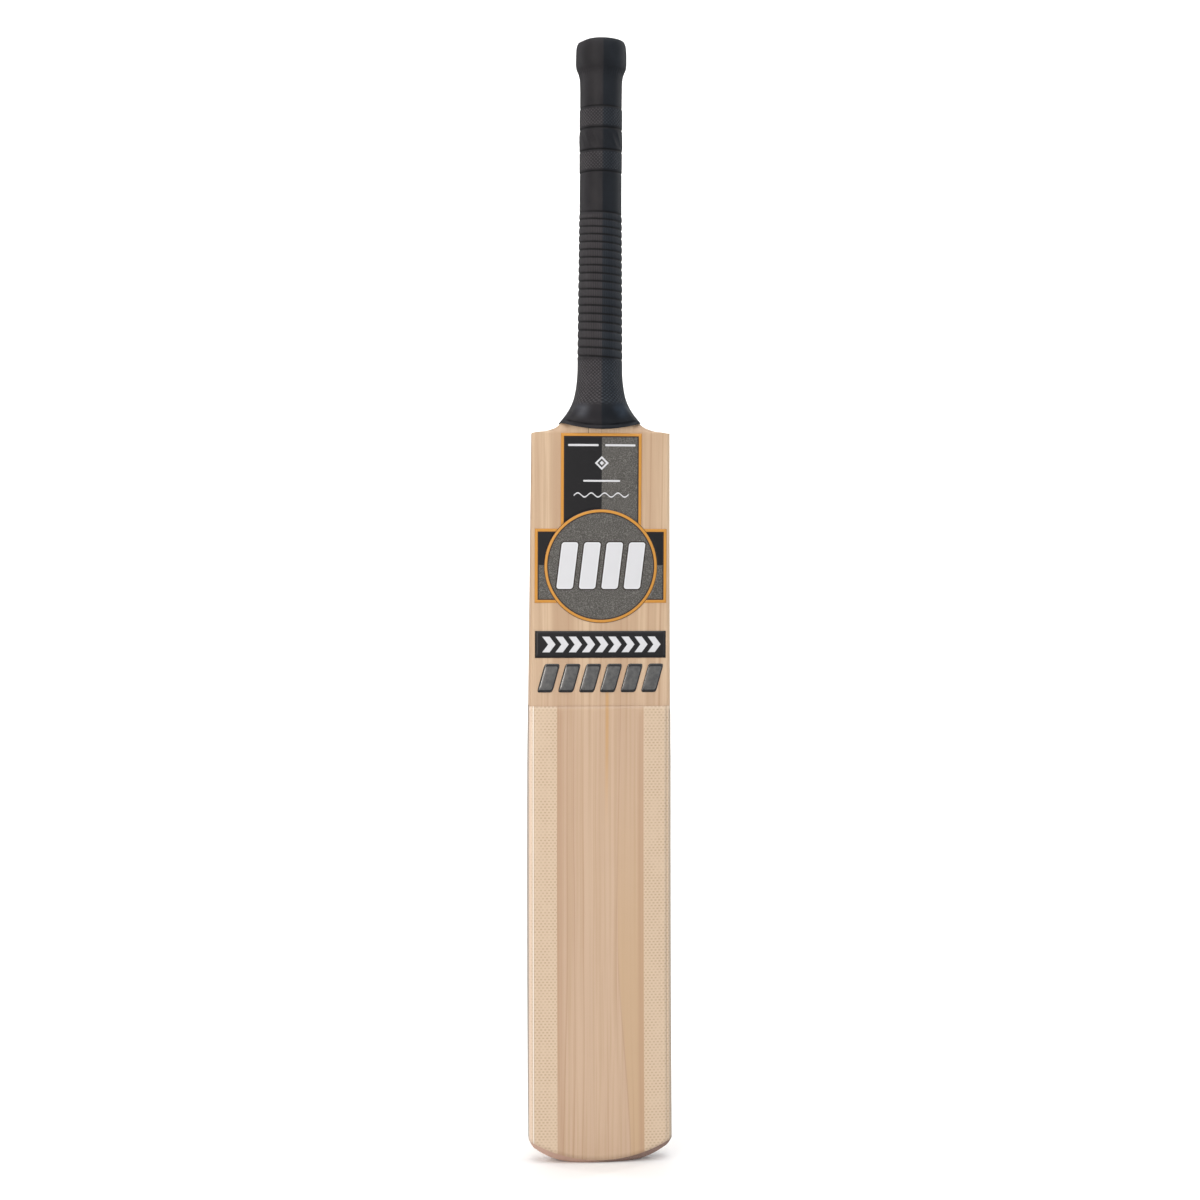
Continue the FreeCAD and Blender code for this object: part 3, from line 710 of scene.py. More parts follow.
def gripMaterial():
    material, nodes, shader = newMaterial("grip_rubber")
    uv = nodes.add("ShaderNodeUVMap", uv_map="surface")
    split = nodes.add("ShaderNodeSeparateXYZ")
    nodes.link(uv.outputs[0], split.inputs[0])
    around, up = split.outputs[0], split.outputs[1]
    # diamond knurl: two sets of crossing lines; strong above the skirt, lighter on the ribs and bands
    knurl = nodes.times(nodes.size(nodes.math("SINE",
        nodes.times(nodes.plus(around, up), math.pi / grip["knurlPitch"]))), nodes.size(nodes.math(
            "SINE", nodes.times(nodes.minus(around, up), math.pi / grip["knurlPitch"]))))
    strong = nodes.group("edgeBand", Distance=up, From=21.0, To=56.5, Soft=3.0)["Mask"]
    ribs = nodes.group("edgeBand", Distance=up, From=56.0, To=165.0, Soft=2.0)["Mask"]
    bandB = nodes.group("edgeBand", Distance=up, From=229.7, To=242.3, Soft=0.6)["Mask"]
    bandD = nodes.group("edgeBand", Distance=up, From=197.2, To=210.2, Soft=0.6)["Mask"]
    fluting = nodes.size(nodes.math("SINE", nodes.times(around, math.pi / 1.3)))
    bands = nodes.plus(bandB, bandD, clamp=True)
    relief = nodes.times(knurl, nodes.plus(nodes.times(strong, 1.3), nodes.times(bands, 0.9)))
    relief = nodes.plus(relief, nodes.times(nodes.times(fluting, ribs), 0.55))
    vector, x = objectXyz(nodes)[:2]
    speckle = nodes.group("printSpeckle", Vector=vector, Size=0.5)
    # painted shade: the moulded grooves are darkened at their bottom, where shade falls; they follow the
    # same count as the shape's helix
    rise = nodes.over(nodes.minus(up, grip["grooveLow"] / mm),
                      (grip["grooveHigh"] - grip["grooveLow"]) / mm)
    count = nodes.times(nodes.times(rise, grip["grooveTurns"]), nodes.plus(0.92, nodes.times(rise, 0.08)))
    count = nodes.plus(count, nodes.times(nodes.plus(around, 25.0), 0.01))
    gap = nodes.size(nodes.minus(nodes.math("FRACT", nodes.plus(count, 0.5)), 0.5))
    grooveShade = nodes.times(nodes.step(gap, 0.2, 0.04), nodes.group(
        "edgeBand", Distance=up, From=55.0, To=167.5, Soft=2.0)["Mask"])
    # painted shade in the narrow sunken bands between the stretches
    for low, high in ((194.9, 196.5), (210.8, 212.7), (226.9, 229.0), (242.8, 244.9)):
        band = nodes.group("edgeBand", Distance=up, From=low, To=high, Soft=0.5)["Mask"]
        grooveShade = nodes.most(grooveShade, band)
    lift = nodes.minus(up,
        nodes.plus(grip["rimFront"] / mm,
        nodes.times(nodes.times(x, x), grip["rimDip"] * mm / grip["rimHalf"] ** 2)))
    # painted shade in the fold above the skirt's lip
    fold = nodes.group("edgeBand", Distance=lift, From=2.9, To=3.9, Soft=0.5)["Mask"]
    grooveShade = nodes.most(grooveShade, nodes.times(fold, nodes.step(nodes.size(x), 30.0, 24.0)))
    # painted light: the raised knurl, flutes and ribs are coloured lighter than the rubber between them, as
    # where light catches them; the cloud adds uneven tone
    shade = nodes.plus(nodes.times(speckle["Cloud"], 0.35), nodes.times(relief, 0.75), clamp=True)
    colour = nodes.mix(shade, grip["dark"], grip["light"])
    # painted highlights: two lighter patches on the skirt where the light catches it, then painted shade: a
    # cooler, darker right half beyond the front ridge
    skirtHighlight = nodes.minus(nodes.size(nodes.minus(nodes.size(x), grip[
        "skirtHighlightX"])), nodes.times(nodes.minus(16.0, up), -0.25))
    skirtHighlightMask = nodes.times(nodes.step(skirtHighlight, 8.0, -1.0), nodes.group(
        "edgeBand", Distance=up, From=9.5, To=24.0, Soft=5.0)["Mask"])
    skirtHighlightMask = nodes.times(skirtHighlightMask, nodes.step(speckle["Cloud"], 0.2, 0.65))
    colour = nodes.mix(nodes.times(skirtHighlightMask, 0.7), colour, grip["skirtHighlight"])
    # painted shade: the right half is multiplied by a cooler, darker tint, as if in shade, the left half by
    # a faintly warm lit tint
    rightHalf = nodes.step(x, -0.9, 0.9)
    lightAndShadeTint = nodes.mix(rightHalf, grip["litHalfTint"], grip["shadedHalfTint"])
    lightAndShadeMix = nodes.add("ShaderNodeMix", data_type="RGBA", blend_type="MULTIPLY")
    lightAndShadeMix.inputs["Factor"].default_value = 1.0
    nodes.link(colour, lightAndShadeMix.inputs["A"])
    nodes.link(lightAndShadeTint, lightAndShadeMix.inputs["B"])
    colour = lightAndShadeMix.outputs["Result"]
    colour = nodes.mix(nodes.times(grooveShade, 0.85), colour, grip["grooveShade"])
    nodes.link(colour, shader.inputs["Base Color"])
    smoothSkirt = nodes.group("edgeBand", Distance=up, From=9.0, To=22.0, Soft=4.0)["Mask"]
    rough = nodes.minus(nodes.plus(0.5, nodes.times(speckle["Speckle"], 0.14)),
                       nodes.times(smoothSkirt, 0.2))
    nodes.link(rough, shader.inputs["Roughness"])
    height = nodes.plus(relief, nodes.times(speckle["Speckle"], 0.12))
    bump(nodes, shader, height, 0.8, 0.0004)
    shader.inputs["Specular IOR Level"].default_value = grip["shine"]
    return material


def gripOutside(angle, h):
    # oval section by height: skirt, barrel and collar, then grooves, bands and small relief added to it
    skirt = smoothCurve(grip["skirtH"], grip["skirtHalf"], h)
    barrel = np.interp(h, grip["barrelH"], grip["barrelHalf"])
    collar = smoothCurve(grip["collarH"], grip["collarHalf"], h)
    half = np.where(h < 56 * mm, skirt, np.where(h < 257.4 * mm, barrel, collar))
    deep = np.where(h < 56 * mm, smoothCurve(grip["skirtH"], grip["skirtDeep"], h), half + grip["deeper"])
    square = np.where(h < 56 * mm, smoothCurve(grip["skirtH"], grip["skirtSquare"], h), 2.0)
    turn = np.mod(angle + np.pi / 2 + np.pi, 2 * np.pi) - np.pi      # 0 at the front, growing to +X
    relief = np.zeros_like(h)
    # helical grooves: their count grows with height, and one turn drops by one pitch
    low, high = grip["grooveLow"], grip["grooveHigh"]
    t = (h - low) / (high - low)
    count = grip["grooveTurns"] * t * (1 + 0.08 * (t - 1)) + turn / (2 * np.pi)
    gap = np.abs(count - np.round(count))
    fadeIn = np.clip((h - low + 3.5 * mm) / (2.5 * mm), 0, 1)
    fade = fadeIn * np.clip((high + 2.5 * mm - h) / (2.5 * mm), 0, 1)
    relief += fade * (-grip["grooveDepth"] * np.exp(-(gap / 0.13) ** 2) + grip["ribSwell"] * (1 - np.exp(
        -(gap / 0.3) ** 2)))
    # slanted ribs on the middle band
    slant = np.sin(turn * 15 + (h - 220 * mm) / (2.2 * mm))
    onBand = np.clip((h - 214.5 * mm) / (0.8 * mm), 0, 1) * np.clip((225.4 * mm - h) / (0.8 * mm), 0, 1)
    relief += onBand * 0.22 * mm * np.clip(slant * 1.6, -0.4, 1)
    # short flutes where the collar starts, and a faint ridge down the front of the smooth stretch
    flutes = np.exp(-((h - 269.5 * mm) / (1.8 * mm)) ** 2)
    relief += flutes * 0.12 * mm * np.cos(turn * 48)
    ridgeOn = np.clip((h - 167 * mm) / (3 * mm), 0, 1) * np.clip((193.5 * mm - h) / (3 * mm), 0, 1)
    relief += ridgeOn * 0.22 * mm * np.exp(-(turn / 0.05) ** 2)
    # fold above the lip of the skirt
    lift = h - rimHeight(half * np.cos(angle))
    inFront = np.clip((28 * mm - half * np.abs(np.cos(angle))) / (6 * mm), 0, 1)
    relief += -0.95 * mm * inFront * np.exp(-((lift - 3.4 * mm) / (0.8 * mm)) ** 2)
    relief += 0.35 * mm * inFront * np.exp(-((lift - 1.2 * mm) / (1.1 * mm)) ** 2)
    return half + relief, deep + relief, square


def rimHeight(x):
    # the skirt's rim is lowest at the front and back and rises to the sides
    return grip["rimFront"] + grip["rimDip"] * (x / grip["rimHalf"]) ** 2


def ovalPoints(angle, half, deep, square):
    cosine, sine = np.cos(angle), np.sin(angle)
    x = half * np.sign(cosine) * np.abs(cosine) ** (2 / square)
    y = deep * np.sign(sine) * np.abs(sine) ** (2 / square)
    return x, y


def makeGrip():
    angle = np.linspace(0, 2 * np.pi, grip["turns"] + 1)[None, :]
    skirtShare = np.linspace(0, 1, 56)[:, None]
    h = -1 * mm + 57 * mm * skirtShare + 0 * angle
    for _ in range(4):
        half, deep, square = gripOutside(angle, h)
        x, y = ovalPoints(angle, half, deep, square)
        low = rimHeight(x)
        h = low + (56 * mm - low) * skirtShare
    barrelRows = np.concatenate([np.linspace(56.4, 167, 226), np.linspace(168, 194, 12),
                                 np.linspace(194.8, 197, 9), np.linspace(198, 210, 7),
                                 np.linspace(210.6, 213, 9), np.linspace(213.6, 226.2, 22),
                                 np.linspace(226.8, 229.6, 9), np.linspace(230.5, 242, 7),
                                 np.linspace(242.7, 245.5, 9), np.linspace(247, 258, 6),
                                 np.linspace(260, 292, 34), np.linspace(292.4, 294.2, 10)]) * mm
    upper = barrelRows[:, None] + 0 * angle
    # the collar's rim is a little uneven: it dips at the front left
    turn = np.mod(angle + np.pi / 2 + np.pi, 2 * np.pi) - np.pi
    dip = -0.9 * mm * np.exp(-((turn + 1.15) / 0.45) ** 2) * np.clip((upper - 284 * mm) / (10 * mm), 0, 1)
    h = np.vstack([h, upper])
    half, deep, square = gripOutside(angle, h)
    x, y = ovalPoints(angle, half, deep, square)
    h[-len(barrelRows):] += dip
    outerLength = h.copy()
    # over the rolled rim and down inside the mouth, then inside the sleeve back to the skirt
    rollH = np.array([294.3, 294.2, 293.8, 293.0, 291.2]) * mm
    rollShare = np.array([0.35, 0.65, 0.88, 0.98, 1.0])
    rollX, rollY, rollZ = [], [], []
    mouthX, mouthY = ovalPoints(angle, grip["mouthHalf"], grip["mouthDeep"], 2.0)
    for height, share in zip(rollH, rollShare):
        rollX.append(x[-1] * (1 - share) + mouthX[0] * share)
        rollY.append(y[-1] * (1 - share) + mouthY[0] * share)
        rollZ.append(np.full_like(x[-1], height) + dip[-1] * (1 - share))
    innerH = np.array([284, 258, 240, 200, 150, 100, 70]) * mm
    innerRows = innerH[:, None] + 0 * angle
    innerHalf = np.interp(innerRows, grip["barrelH"], grip["barrelHalf"]) - grip["wall"]
    inX, inY = ovalPoints(angle, np.minimum(innerHalf, 15.6 * mm), np.minimum(
        innerHalf, 15.6 * mm) + grip["deeper"], 2.0)
    skirtRows = np.array([1.0, 0.8, 0.6, 0.45, 0.3, 0.2, 0.1, 0.04])
    picks = (skirtRows * 55).astype(int)
    shrinkX = 1 - grip["wall"] / np.maximum(np.hypot(x[picks], y[picks]), 1e-6)
    skX, skY, skH = x[picks] * shrinkX, y[picks] * shrinkX, h[picks]
    x = np.vstack([x, rollX, inX, skX, x[:1]])
    y = np.vstack([y, rollY, inY, skY, y[:1]])
    hAll = np.vstack([h, rollZ, innerRows, skH, h[:1]])
    around = (np.linspace(-100, 0, grip["turns"] + 1)[None, :] + 0 * x)
    up = np.vstack([outerLength, np.full_like(hAll[len(outerLength):], 300 * mm)]) / mm
    gx, gy, gz = handleFrame(x, y, hAll)
    return addPiece("rubber_grip", [(gx, gy, gz)], ["grip"], gripMaterial(),
                    uvs=[(around, up)], sharpAngle=60)


makeGrip()
print("grip done")


def onFace(x, z, lift):
    # a point of the face, lifted off it
    return faceY(z) + frontDepth(x, sideX(z)) - lift


def addFilm(name, grids, node, material, thickness, uvs=None):
    # an outer surface, given its thickness inwards
    piece = addPiece(name, grids, [node], material, uvs=uvs, recalc=False, sharpAngle=50)
    solid = piece.modifiers.new("thickness", "SOLIDIFY")
    solid.thickness = thickness
    solid.offset = -1
    return piece


def meshMaterial():
    material, nodes, shader = newMaterial("fibre_mesh_tape")
    uv = nodes.add("ShaderNodeUVMap", uv_map="surface")
    split = nodes.add("ShaderNodeSeparateXYZ")
    nodes.link(uv.outputs[0], split.inputs[0])
    vector, x = objectXyz(nodes)[:2]
    weave = nodes.group("lenoWeave", Vector=vector, Across=split.outputs[0], Up=split.outputs[1])
    figure = nodes.group("willowFigure", Vector=vector)
    corner = (blade["halfWidth"] - film["tapeInner"]) / mm
    # painted highlight: a pale line along the tape's left front corner, where the light catches it; the
    # right corner has none
    paintedCornerHighlight = nodes.group("edgeBand", Distance=split.outputs[0], From=corner - 4.3, To=corner - 2.4,
        Soft=0.7)
    paintedCornerHighlight = nodes.times(paintedCornerHighlight["Mask"], nodes.step(x, 0.0, -10.0))
    colour = nodes.mix(paintedCornerHighlight, weaveColour(nodes, weave, figure), willow["paintedCornerHighlight"])
    # painted light and shade round the edges: the wrap is paler and pinker on the left, where the light
    # falls, and darker on the right, in shade
    wrap = nodes.group("edgeBand", Distance=split.outputs[0], From=corner - 2.4, To=corner + 4.0, Soft=1.2)
    wrapLightAndShade = nodes.mix(nodes.step(x, -1.0, 1.0), film["wrapLitTint"], film["wrapShadeTint"])
    colour = nodes.mix(nodes.times(wrap["Mask"], 0.7), colour, wrapLightAndShade)
    nodes.link(colour, shader.inputs["Base Color"])
    nodes.link(nodes.plus(0.34, nodes.times(weave["Gap"], 0.2)), shader.inputs["Roughness"])
    bump(nodes, shader, weave["Thread"], 0.3, 0.0002)
    shader.inputs["Coat Weight"].default_value = 0.8
    shader.inputs["Coat Roughness"].default_value = 0.13
    return material


def makeTapes():
    # strip over the face, round the edge and onto the back; u runs along the strip across the bat
    level = (np.linspace(0, 1, 90) * film["top"])[:, None]
    lift = film["tapeLift"]
    frontShare = np.concatenate([np.linspace(0, 0.8, 8),
        0.8 + 0.2 * np.sin(np.linspace(0, np.pi / 2, 10)[1:])])
    material = meshMaterial()
    for name, sign in (("left", -1.0), ("right", 1.0)):
        x = film["tapeInner"] + (blade["halfWidth"] - film["tapeInner"]) * frontShare[None, :]
        z = bentZ(x, level)
        side = sideX(z)
        x = np.minimum(x, side)
        reach = np.sqrt(np.clip((np.abs(x) - side + blade["frontRadius"]) / blade["frontRadius"], 0, 1))
        front = faceY(z) + frontDepth(x, side) - lift * np.sqrt(1 - reach ** 4 * 0.999)
        frontX = x + lift * reach ** 2
        reachBack = np.clip((np.abs(x) - side + blade["backRadius"]) / blade["backRadius"], 0, 1)
        back = faceY(z) + backDepth(x, z, side) + lift * np.sqrt(1 - reachBack ** 2 * 0.999)
        backX = x + lift * reachBack
        edgeShare = np.linspace(0, 1, 6)[None, 1:-1]
        edgeY = front[:, -1:] + (back - front)[:, -1:] * edgeShare
        edgeX = np.broadcast_to(frontX[:, -1:], edgeY.shape)
        edgeZ = np.broadcast_to(z[:, -1:], edgeY.shape)
        px = np.hstack([frontX, edgeX, backX[:, ::-1]])
        py = np.hstack([front, edgeY, back[:, ::-1]])
        pz = np.hstack([z, edgeZ, z[:, ::-1]])
        run = np.hypot(np.diff(px, axis=1), np.diff(py, axis=1))
        u = np.hstack([np.zeros((len(level), 1)), np.cumsum(run, axis=1)]) / mm
        px = sign * px
        if sign > 0:
            grid = (px, py, pz)
            uv = (u, pz / mm)
        else:
            grid = (px[:, ::-1], py[:, ::-1], pz[:, ::-1])
            uv = (u[:, ::-1], pz[:, ::-1] / mm)
        addFilm("mesh_tape_" + name, [grid], "edge_tape_" + name, material, 0.2 * mm,
            uvs=[uv])


def sheetMaterial():
    # the film is clear, so it carries the figure of what lies right under it: wood, and tape at the sides
    material, nodes, shader = newMaterial("clear_sheet")
    vector, x, _, z = objectXyz(nodes)
    across = nodes.minus(nodes.size(x), film["tapeInner"] / mm)
    weave = nodes.group("lenoWeave", Vector=vector, Across=across, Up=z)
    figure = nodes.group("willowFigure", Vector=vector)
    onTape = nodes.step(across, -0.15, 0.15)
    colour = nodes.mix(onTape, figure["Colour"], weaveColour(nodes, weave, figure))
    seam = nodes.group("edgeBand", Distance=across, From=-1.6, To=0.0, Soft=0.5)["Mask"]
    colour = nodes.mix(nodes.times(seam, 0.3), colour, willow["ring"])
    rim = nodes.group("edgeBand", Distance=z, From=343.3, To=345.0, Soft=0.3)["Mask"]
    colour = nodes.mix(nodes.times(rim, 0.3), colour, willow["ring"])
    nodes.link(colour, shader.inputs["Base Color"])
    speckle = nodes.group("printSpeckle", Vector=vector, Size=0.8)
    nodes.link(nodes.plus(0.38, nodes.times(speckle["Cloud"], 0.16)), shader.inputs["Roughness"])
    thread = nodes.times(weave["Thread"], onTape)
    bump(nodes, shader, nodes.plus(thread, nodes.times(figure["Fibre"], 0.5)), 0.2, 0.0002)
    shader.inputs["Coat Weight"].default_value = 0.3
    shader.inputs["Coat Roughness"].default_value = 0.25
    return material


def makeSheet():
    level = np.linspace(0, 1, 90)[:, None] * film["top"]
    x = np.linspace(-1, 1, 49)[None, :] * film["sheetHalf"] + 0 * level
    z = bentZ(x, level)
    y = onFace(x, z, film["sheetLift"])
    addFilm("clear_face_sheet", [(x, y, z)], "face_sheet", sheetMaterial(), 0.16 * mm)


makeTapes()
makeSheet()
print("tapes and sheet done")

stickers = {
    "lift": 0.3 * mm,
    "thickness": 0.25 * mm,
    "orange": (0.60, 0.27, 0.045, 1),
    "black": (0.0135, 0.013, 0.0145, 1),
    "grey": (0.064, 0.06, 0.055, 1),
    "greyLight": (0.115, 0.109, 0.10, 1),
    "fleck": (0.33, 0.32, 0.3, 1),
    "white": (0.66, 0.665, 0.69, 1),
    "dark": (0.03, 0.02, 0.017, 1),
    "labelHalf": 30.5,             # mm from here on
    "labelTop": 550.0,
    "badgeZ": 450.0,
    "badgeRadius": 43.0,
    "panelHalf": 50.0,
    "panelBottom": 422.3,
    "panelTop": 478.2,
    "bandHalf": 49.7,
    "bandBottom": 380.6,
    "bandTop": 401.0,
    "border": 2.15,
    "splitX": 0.3,
    "bandDark": (0.01, 0.0095, 0.011, 1),
    "bandLight": (0.02, 0.019, 0.021, 1),
    "glint": (0.78, 0.79, 0.82, 1),
    "barPitch": 17.0,
    "chevronPitch": 10.0,
    "fleckSize": 0.75,
}


def metallicInk(nodes, vector):
    # grey ink with pale flecks
    speckle = nodes.group("printSpeckle", Vector=vector, Size=stickers["fleckSize"])
    flecks = nodes.step(speckle["Speckle"], 0.44, 0.70)
    base = nodes.mix(nodes.times(speckle["Cloud"], 0.5), stickers["grey"], stickers["greyLight"])
    return nodes.mix(nodes.times(flecks, 0.5), base, stickers["fleck"]), flecks


def finishPrint(nodes, shader, colour, flecks):
    nodes.link(colour, shader.inputs["Base Color"])
    nodes.link(nodes.minus(0.42, nodes.times(flecks, 0.12)), shader.inputs["Roughness"])
    shader.inputs["Specular IOR Level"].default_value = 0.35
    shader.inputs["Coat Weight"].default_value = 0.1
    shader.inputs["Coat Roughness"].default_value = 0.15
    bump(nodes, shader, flecks, 0.12, 0.00005)


def badgePlace(nodes, x, z):
    # distance from the badge's middle, and height above it
    up = nodes.minus(z, stickers["badgeZ"])
    radius = nodes.math("SQRT", nodes.plus(nodes.times(x, x), nodes.times(up, up)))
    return radius, up


def upperLabelMaterial():
    material, nodes, shader = newMaterial("label_print")
    vector, x, _, z = objectXyz(nodes)
    ink, flecks = metallicInk(nodes, vector)
    right = nodes.step(x, stickers["splitX"] - 0.08, stickers["splitX"] + 0.08)
    colour = nodes.mix(right, stickers["black"], ink)
    sideways = nodes.minus(stickers["labelHalf"], nodes.size(x))
    inward = nodes.math("MINIMUM", sideways, nodes.minus(stickers["labelTop"], z))
    # plain rules, a diamond and a wavy line in place of lettering
    up = nodes.minus(z, 541.0)
    bars = nodes.group("slantBox", Across=nodes.minus(nodes.size(nodes.minus(x, 0.3)), 14.0), Up=up,
        **{"Half Width": 11.5, "Half Height": 0.8, "Corner": 0.6})
    short = nodes.group("slantBox", Across=nodes.minus(x, 0.3), Up=nodes.minus(z, 514.2),
                        **{"Half Width": 14.0, "Half Height": 0.7, "Corner": 0.6})
    diamondX = nodes.size(nodes.minus(x, 0.3))
    diamondZ = nodes.size(nodes.minus(z, 527.6))
    diamond = nodes.plus(diamondX, diamondZ)
    ring = nodes.group("edgeBand", Distance=diamond, From=3.3, To=5.3, Soft=0.15)["Mask"]
    dot = nodes.step(diamond, 1.75, 1.6)
    wave = nodes.times(nodes.math("SINE", nodes.times(x, 0.62)), 1.5)
    waveGap = nodes.size(nodes.minus(nodes.minus(z, 503.6), wave))
    waveLine = nodes.times(nodes.step(waveGap, 0.65, 0.35), nodes.step(nodes.size(x), 21.0, 20.6))
    white = nodes.plus(nodes.step(bars["Inside"], -0.05, 0.1), nodes.step(short["Inside"], -0.05, 0.1))
    white = nodes.plus(nodes.plus(white, ring), nodes.plus(dot, waveLine), clamp=True)
    colour = nodes.mix(white, colour, stickers["white"])
    shade = nodes.group("edgeBand", Distance=inward, From=stickers["border"], To=stickers["border"] + 1.0)
    colour = nodes.mix(nodes.times(shade["Mask"], 0.9), colour, stickers["dark"])
    colour = nodes.mix(nodes.step(inward, stickers["border"] + 0.08, stickers["border"] - 0.08), colour,
                       stickers["orange"])
    finishPrint(nodes, shader, colour, nodes.times(flecks, right))
    return material


def sidePanelMaterial():
    material, nodes, shader = newMaterial("panel_print")
    vector, x, _, z = objectXyz(nodes)
    ink, flecks = metallicInk(nodes, vector)
    lower = nodes.step(z, 450.9, 450.7)
    colour = nodes.mix(lower, stickers["black"], ink)
    sideways = nodes.minus(stickers["panelHalf"], nodes.size(x))
    upwards = nodes.math("MINIMUM", nodes.minus(stickers["panelTop"], z),
                         nodes.minus(z, stickers["panelBottom"]))
    inward = nodes.math("MINIMUM", sideways, upwards)
    shade = nodes.group("edgeBand", Distance=inward, From=stickers["border"], To=stickers["border"] + 1.0)
    colour = nodes.mix(nodes.times(shade["Mask"], 0.9), colour, stickers["dark"])
    colour = nodes.mix(nodes.step(inward, stickers["border"] + 0.08, stickers["border"] - 0.08), colour,
                       stickers["orange"])
    finishPrint(nodes, shader, colour, nodes.times(flecks, lower))
    return material


def badgeMaterial():
    material, nodes, shader = newMaterial("badge_print")
    vector, x, _, z = objectXyz(nodes)
    ink, flecks = metallicInk(nodes, vector)
    radius, up = badgePlace(nodes, x, z)
    rim = nodes.minus(stickers["badgeRadius"], radius)
    # four leaning bars, repeated by folding the coordinate along the row
    pitch = stickers["barPitch"]
    leaned = nodes.minus(x, nodes.times(up, 0.12))
    cell = nodes.minus(nodes.math("MODULO", nodes.plus(leaned, pitch * 12), pitch), pitch / 2)
    box = nodes.group("slantBox", Across=cell, Up=nodes.minus(up, 0.4),
                      **{"Half Width": 7.1, "Half Height": 18.5, "Corner": 3.0})
    near = nodes.step(nodes.size(leaned), 34.0, 33.9)
    body = nodes.times(nodes.step(box["Inside"], 0.75, 1.0), near)
    outline = nodes.times(nodes.step(box["Inside"], -0.1, 0.1), near)
    glint = nodes.times(nodes.group("edgeBand", Distance=box["Inside"], From=0.9, To=1.9,
                                               Soft=0.3)["Mask"], near)
    colour = nodes.mix(outline, ink, stickers["dark"])
    colour = nodes.mix(body, colour, stickers["white"])
    colour = nodes.mix(nodes.times(glint, 0.6), colour, stickers["glint"])
    shade = nodes.group("edgeBand", Distance=rim, From=2.3, To=3.3)
    colour = nodes.mix(nodes.times(shade["Mask"], 0.85), colour, stickers["dark"])
    colour = nodes.mix(nodes.step(rim, 2.42, 2.26), colour, stickers["orange"])
    colour = nodes.mix(nodes.step(rim, 0.42, 0.26), colour, stickers["dark"])
    finishPrint(nodes, shader, colour, flecks)
    return material


def bandMaterial():
    material, nodes, shader = newMaterial("band_print")
    vector, x, _, z = objectXyz(nodes)
    speckle = nodes.group("printSpeckle", Vector=vector, Size=0.4)
    up = nodes.minus(z, (stickers["bandBottom"] + stickers["bandTop"]) / 2)
    pitch = stickers["chevronPitch"]
    bent = nodes.plus(x, nodes.times(nodes.size(up), 0.75))
    cell = nodes.minus(nodes.math("MODULO", nodes.plus(bent, pitch * 20 + 2.0), pitch), pitch / 2)
    stroke = nodes.step(nodes.size(cell), 2.85, 2.7)
    inRow = nodes.times(nodes.step(nodes.size(up), 6.0, 5.85), nodes.step(
        nodes.size(nodes.plus(bent, -3.0)), 45.0, 44.95))
    white = nodes.times(stroke, inRow)
    colour = nodes.mix(speckle["Cloud"], stickers["bandDark"], stickers["bandLight"])
    colour = nodes.mix(white, colour, stickers["white"])
    finishPrint(nodes, shader, colour, white)
    return material


def patch(x, z, flip=False):
    # a sticker's outer surface over a grid of places on the face
    x, z = x * mm, z * mm
    y = onFace(x, z, stickers["lift"])
    if flip:
        return x[:, ::-1], y[:, ::-1], z[:, ::-1]
    return x, y, z


def makeStickers():
    lift = stickers["thickness"]
    radius, badgeZ, gap = stickers["badgeRadius"], stickers["badgeZ"], 0.02
    # upper label: straight top, its bottom follows the badge's circle
    x = np.linspace(-1, 1, 61)[None, :] * stickers["labelHalf"]
    bottom = badgeZ + np.sqrt((radius + gap) ** 2 - x ** 2)
    z = bottom + (stickers["labelTop"] - bottom) * np.linspace(0, 1, 30)[:, None]
    addFilm("label_upper", [patch(x + 0 * z, z)], "upper_label", upperLabelMaterial(), lift)
    # side panels: their inner side follows the circle
    panelMaterial = sidePanelMaterial()
    z = np.linspace(stickers["panelBottom"], stickers["panelTop"], 41)[:, None]
    inner = np.sqrt((radius + gap) ** 2 - (z - badgeZ) ** 2)
    x = inner + (stickers["panelHalf"] - inner) * np.linspace(0, 1, 12)[None, :]
    for name, sign in (("left", -1), ("right", 1)):
        addFilm("panel_" + name, [patch(sign * x, z + 0 * x, flip=sign < 0)], "side_panel_" + name,
                panelMaterial, lift)
    # badge: rings round a pole
    ring = np.linspace(0, 1, 24)[:, None] * radius
    turn = np.linspace(0, 2 * np.pi, 145)[None, :]
    addFilm("badge_round", [patch(ring * np.cos(turn), badgeZ - ring * np.sin(turn))], "round_badge",
            badgeMaterial(), lift)
    x = np.linspace(-1, 1, 41)[None, :] * stickers["bandHalf"]
    z = np.linspace(stickers["bandBottom"], stickers["bandTop"], 10)[:, None]
    addFilm("band_printed", [patch(x + 0 * z, z + 0 * x)], "band_label", bandMaterial(), lift)


makeStickers()
print("stickers done")


bars = {
    "count": 6,
    "half": 48.3,                  # mm, half of the whole row
    "slant": 6.0,
    "gap": 4.0,
    "bottom": 354.4,
    "top": 376.2,
    "height": 1.25,
    "gelDark": (0.12, 0.122, 0.125, 1),
    "gelLight": (0.19, 0.188, 0.185, 1),
    "fleck": (0.32, 0.31, 0.30, 1),
    "outline": (0.012, 0.012, 0.014, 1),
    "rimStart": 0.79,              # share of the way out where the dark outline begins
}


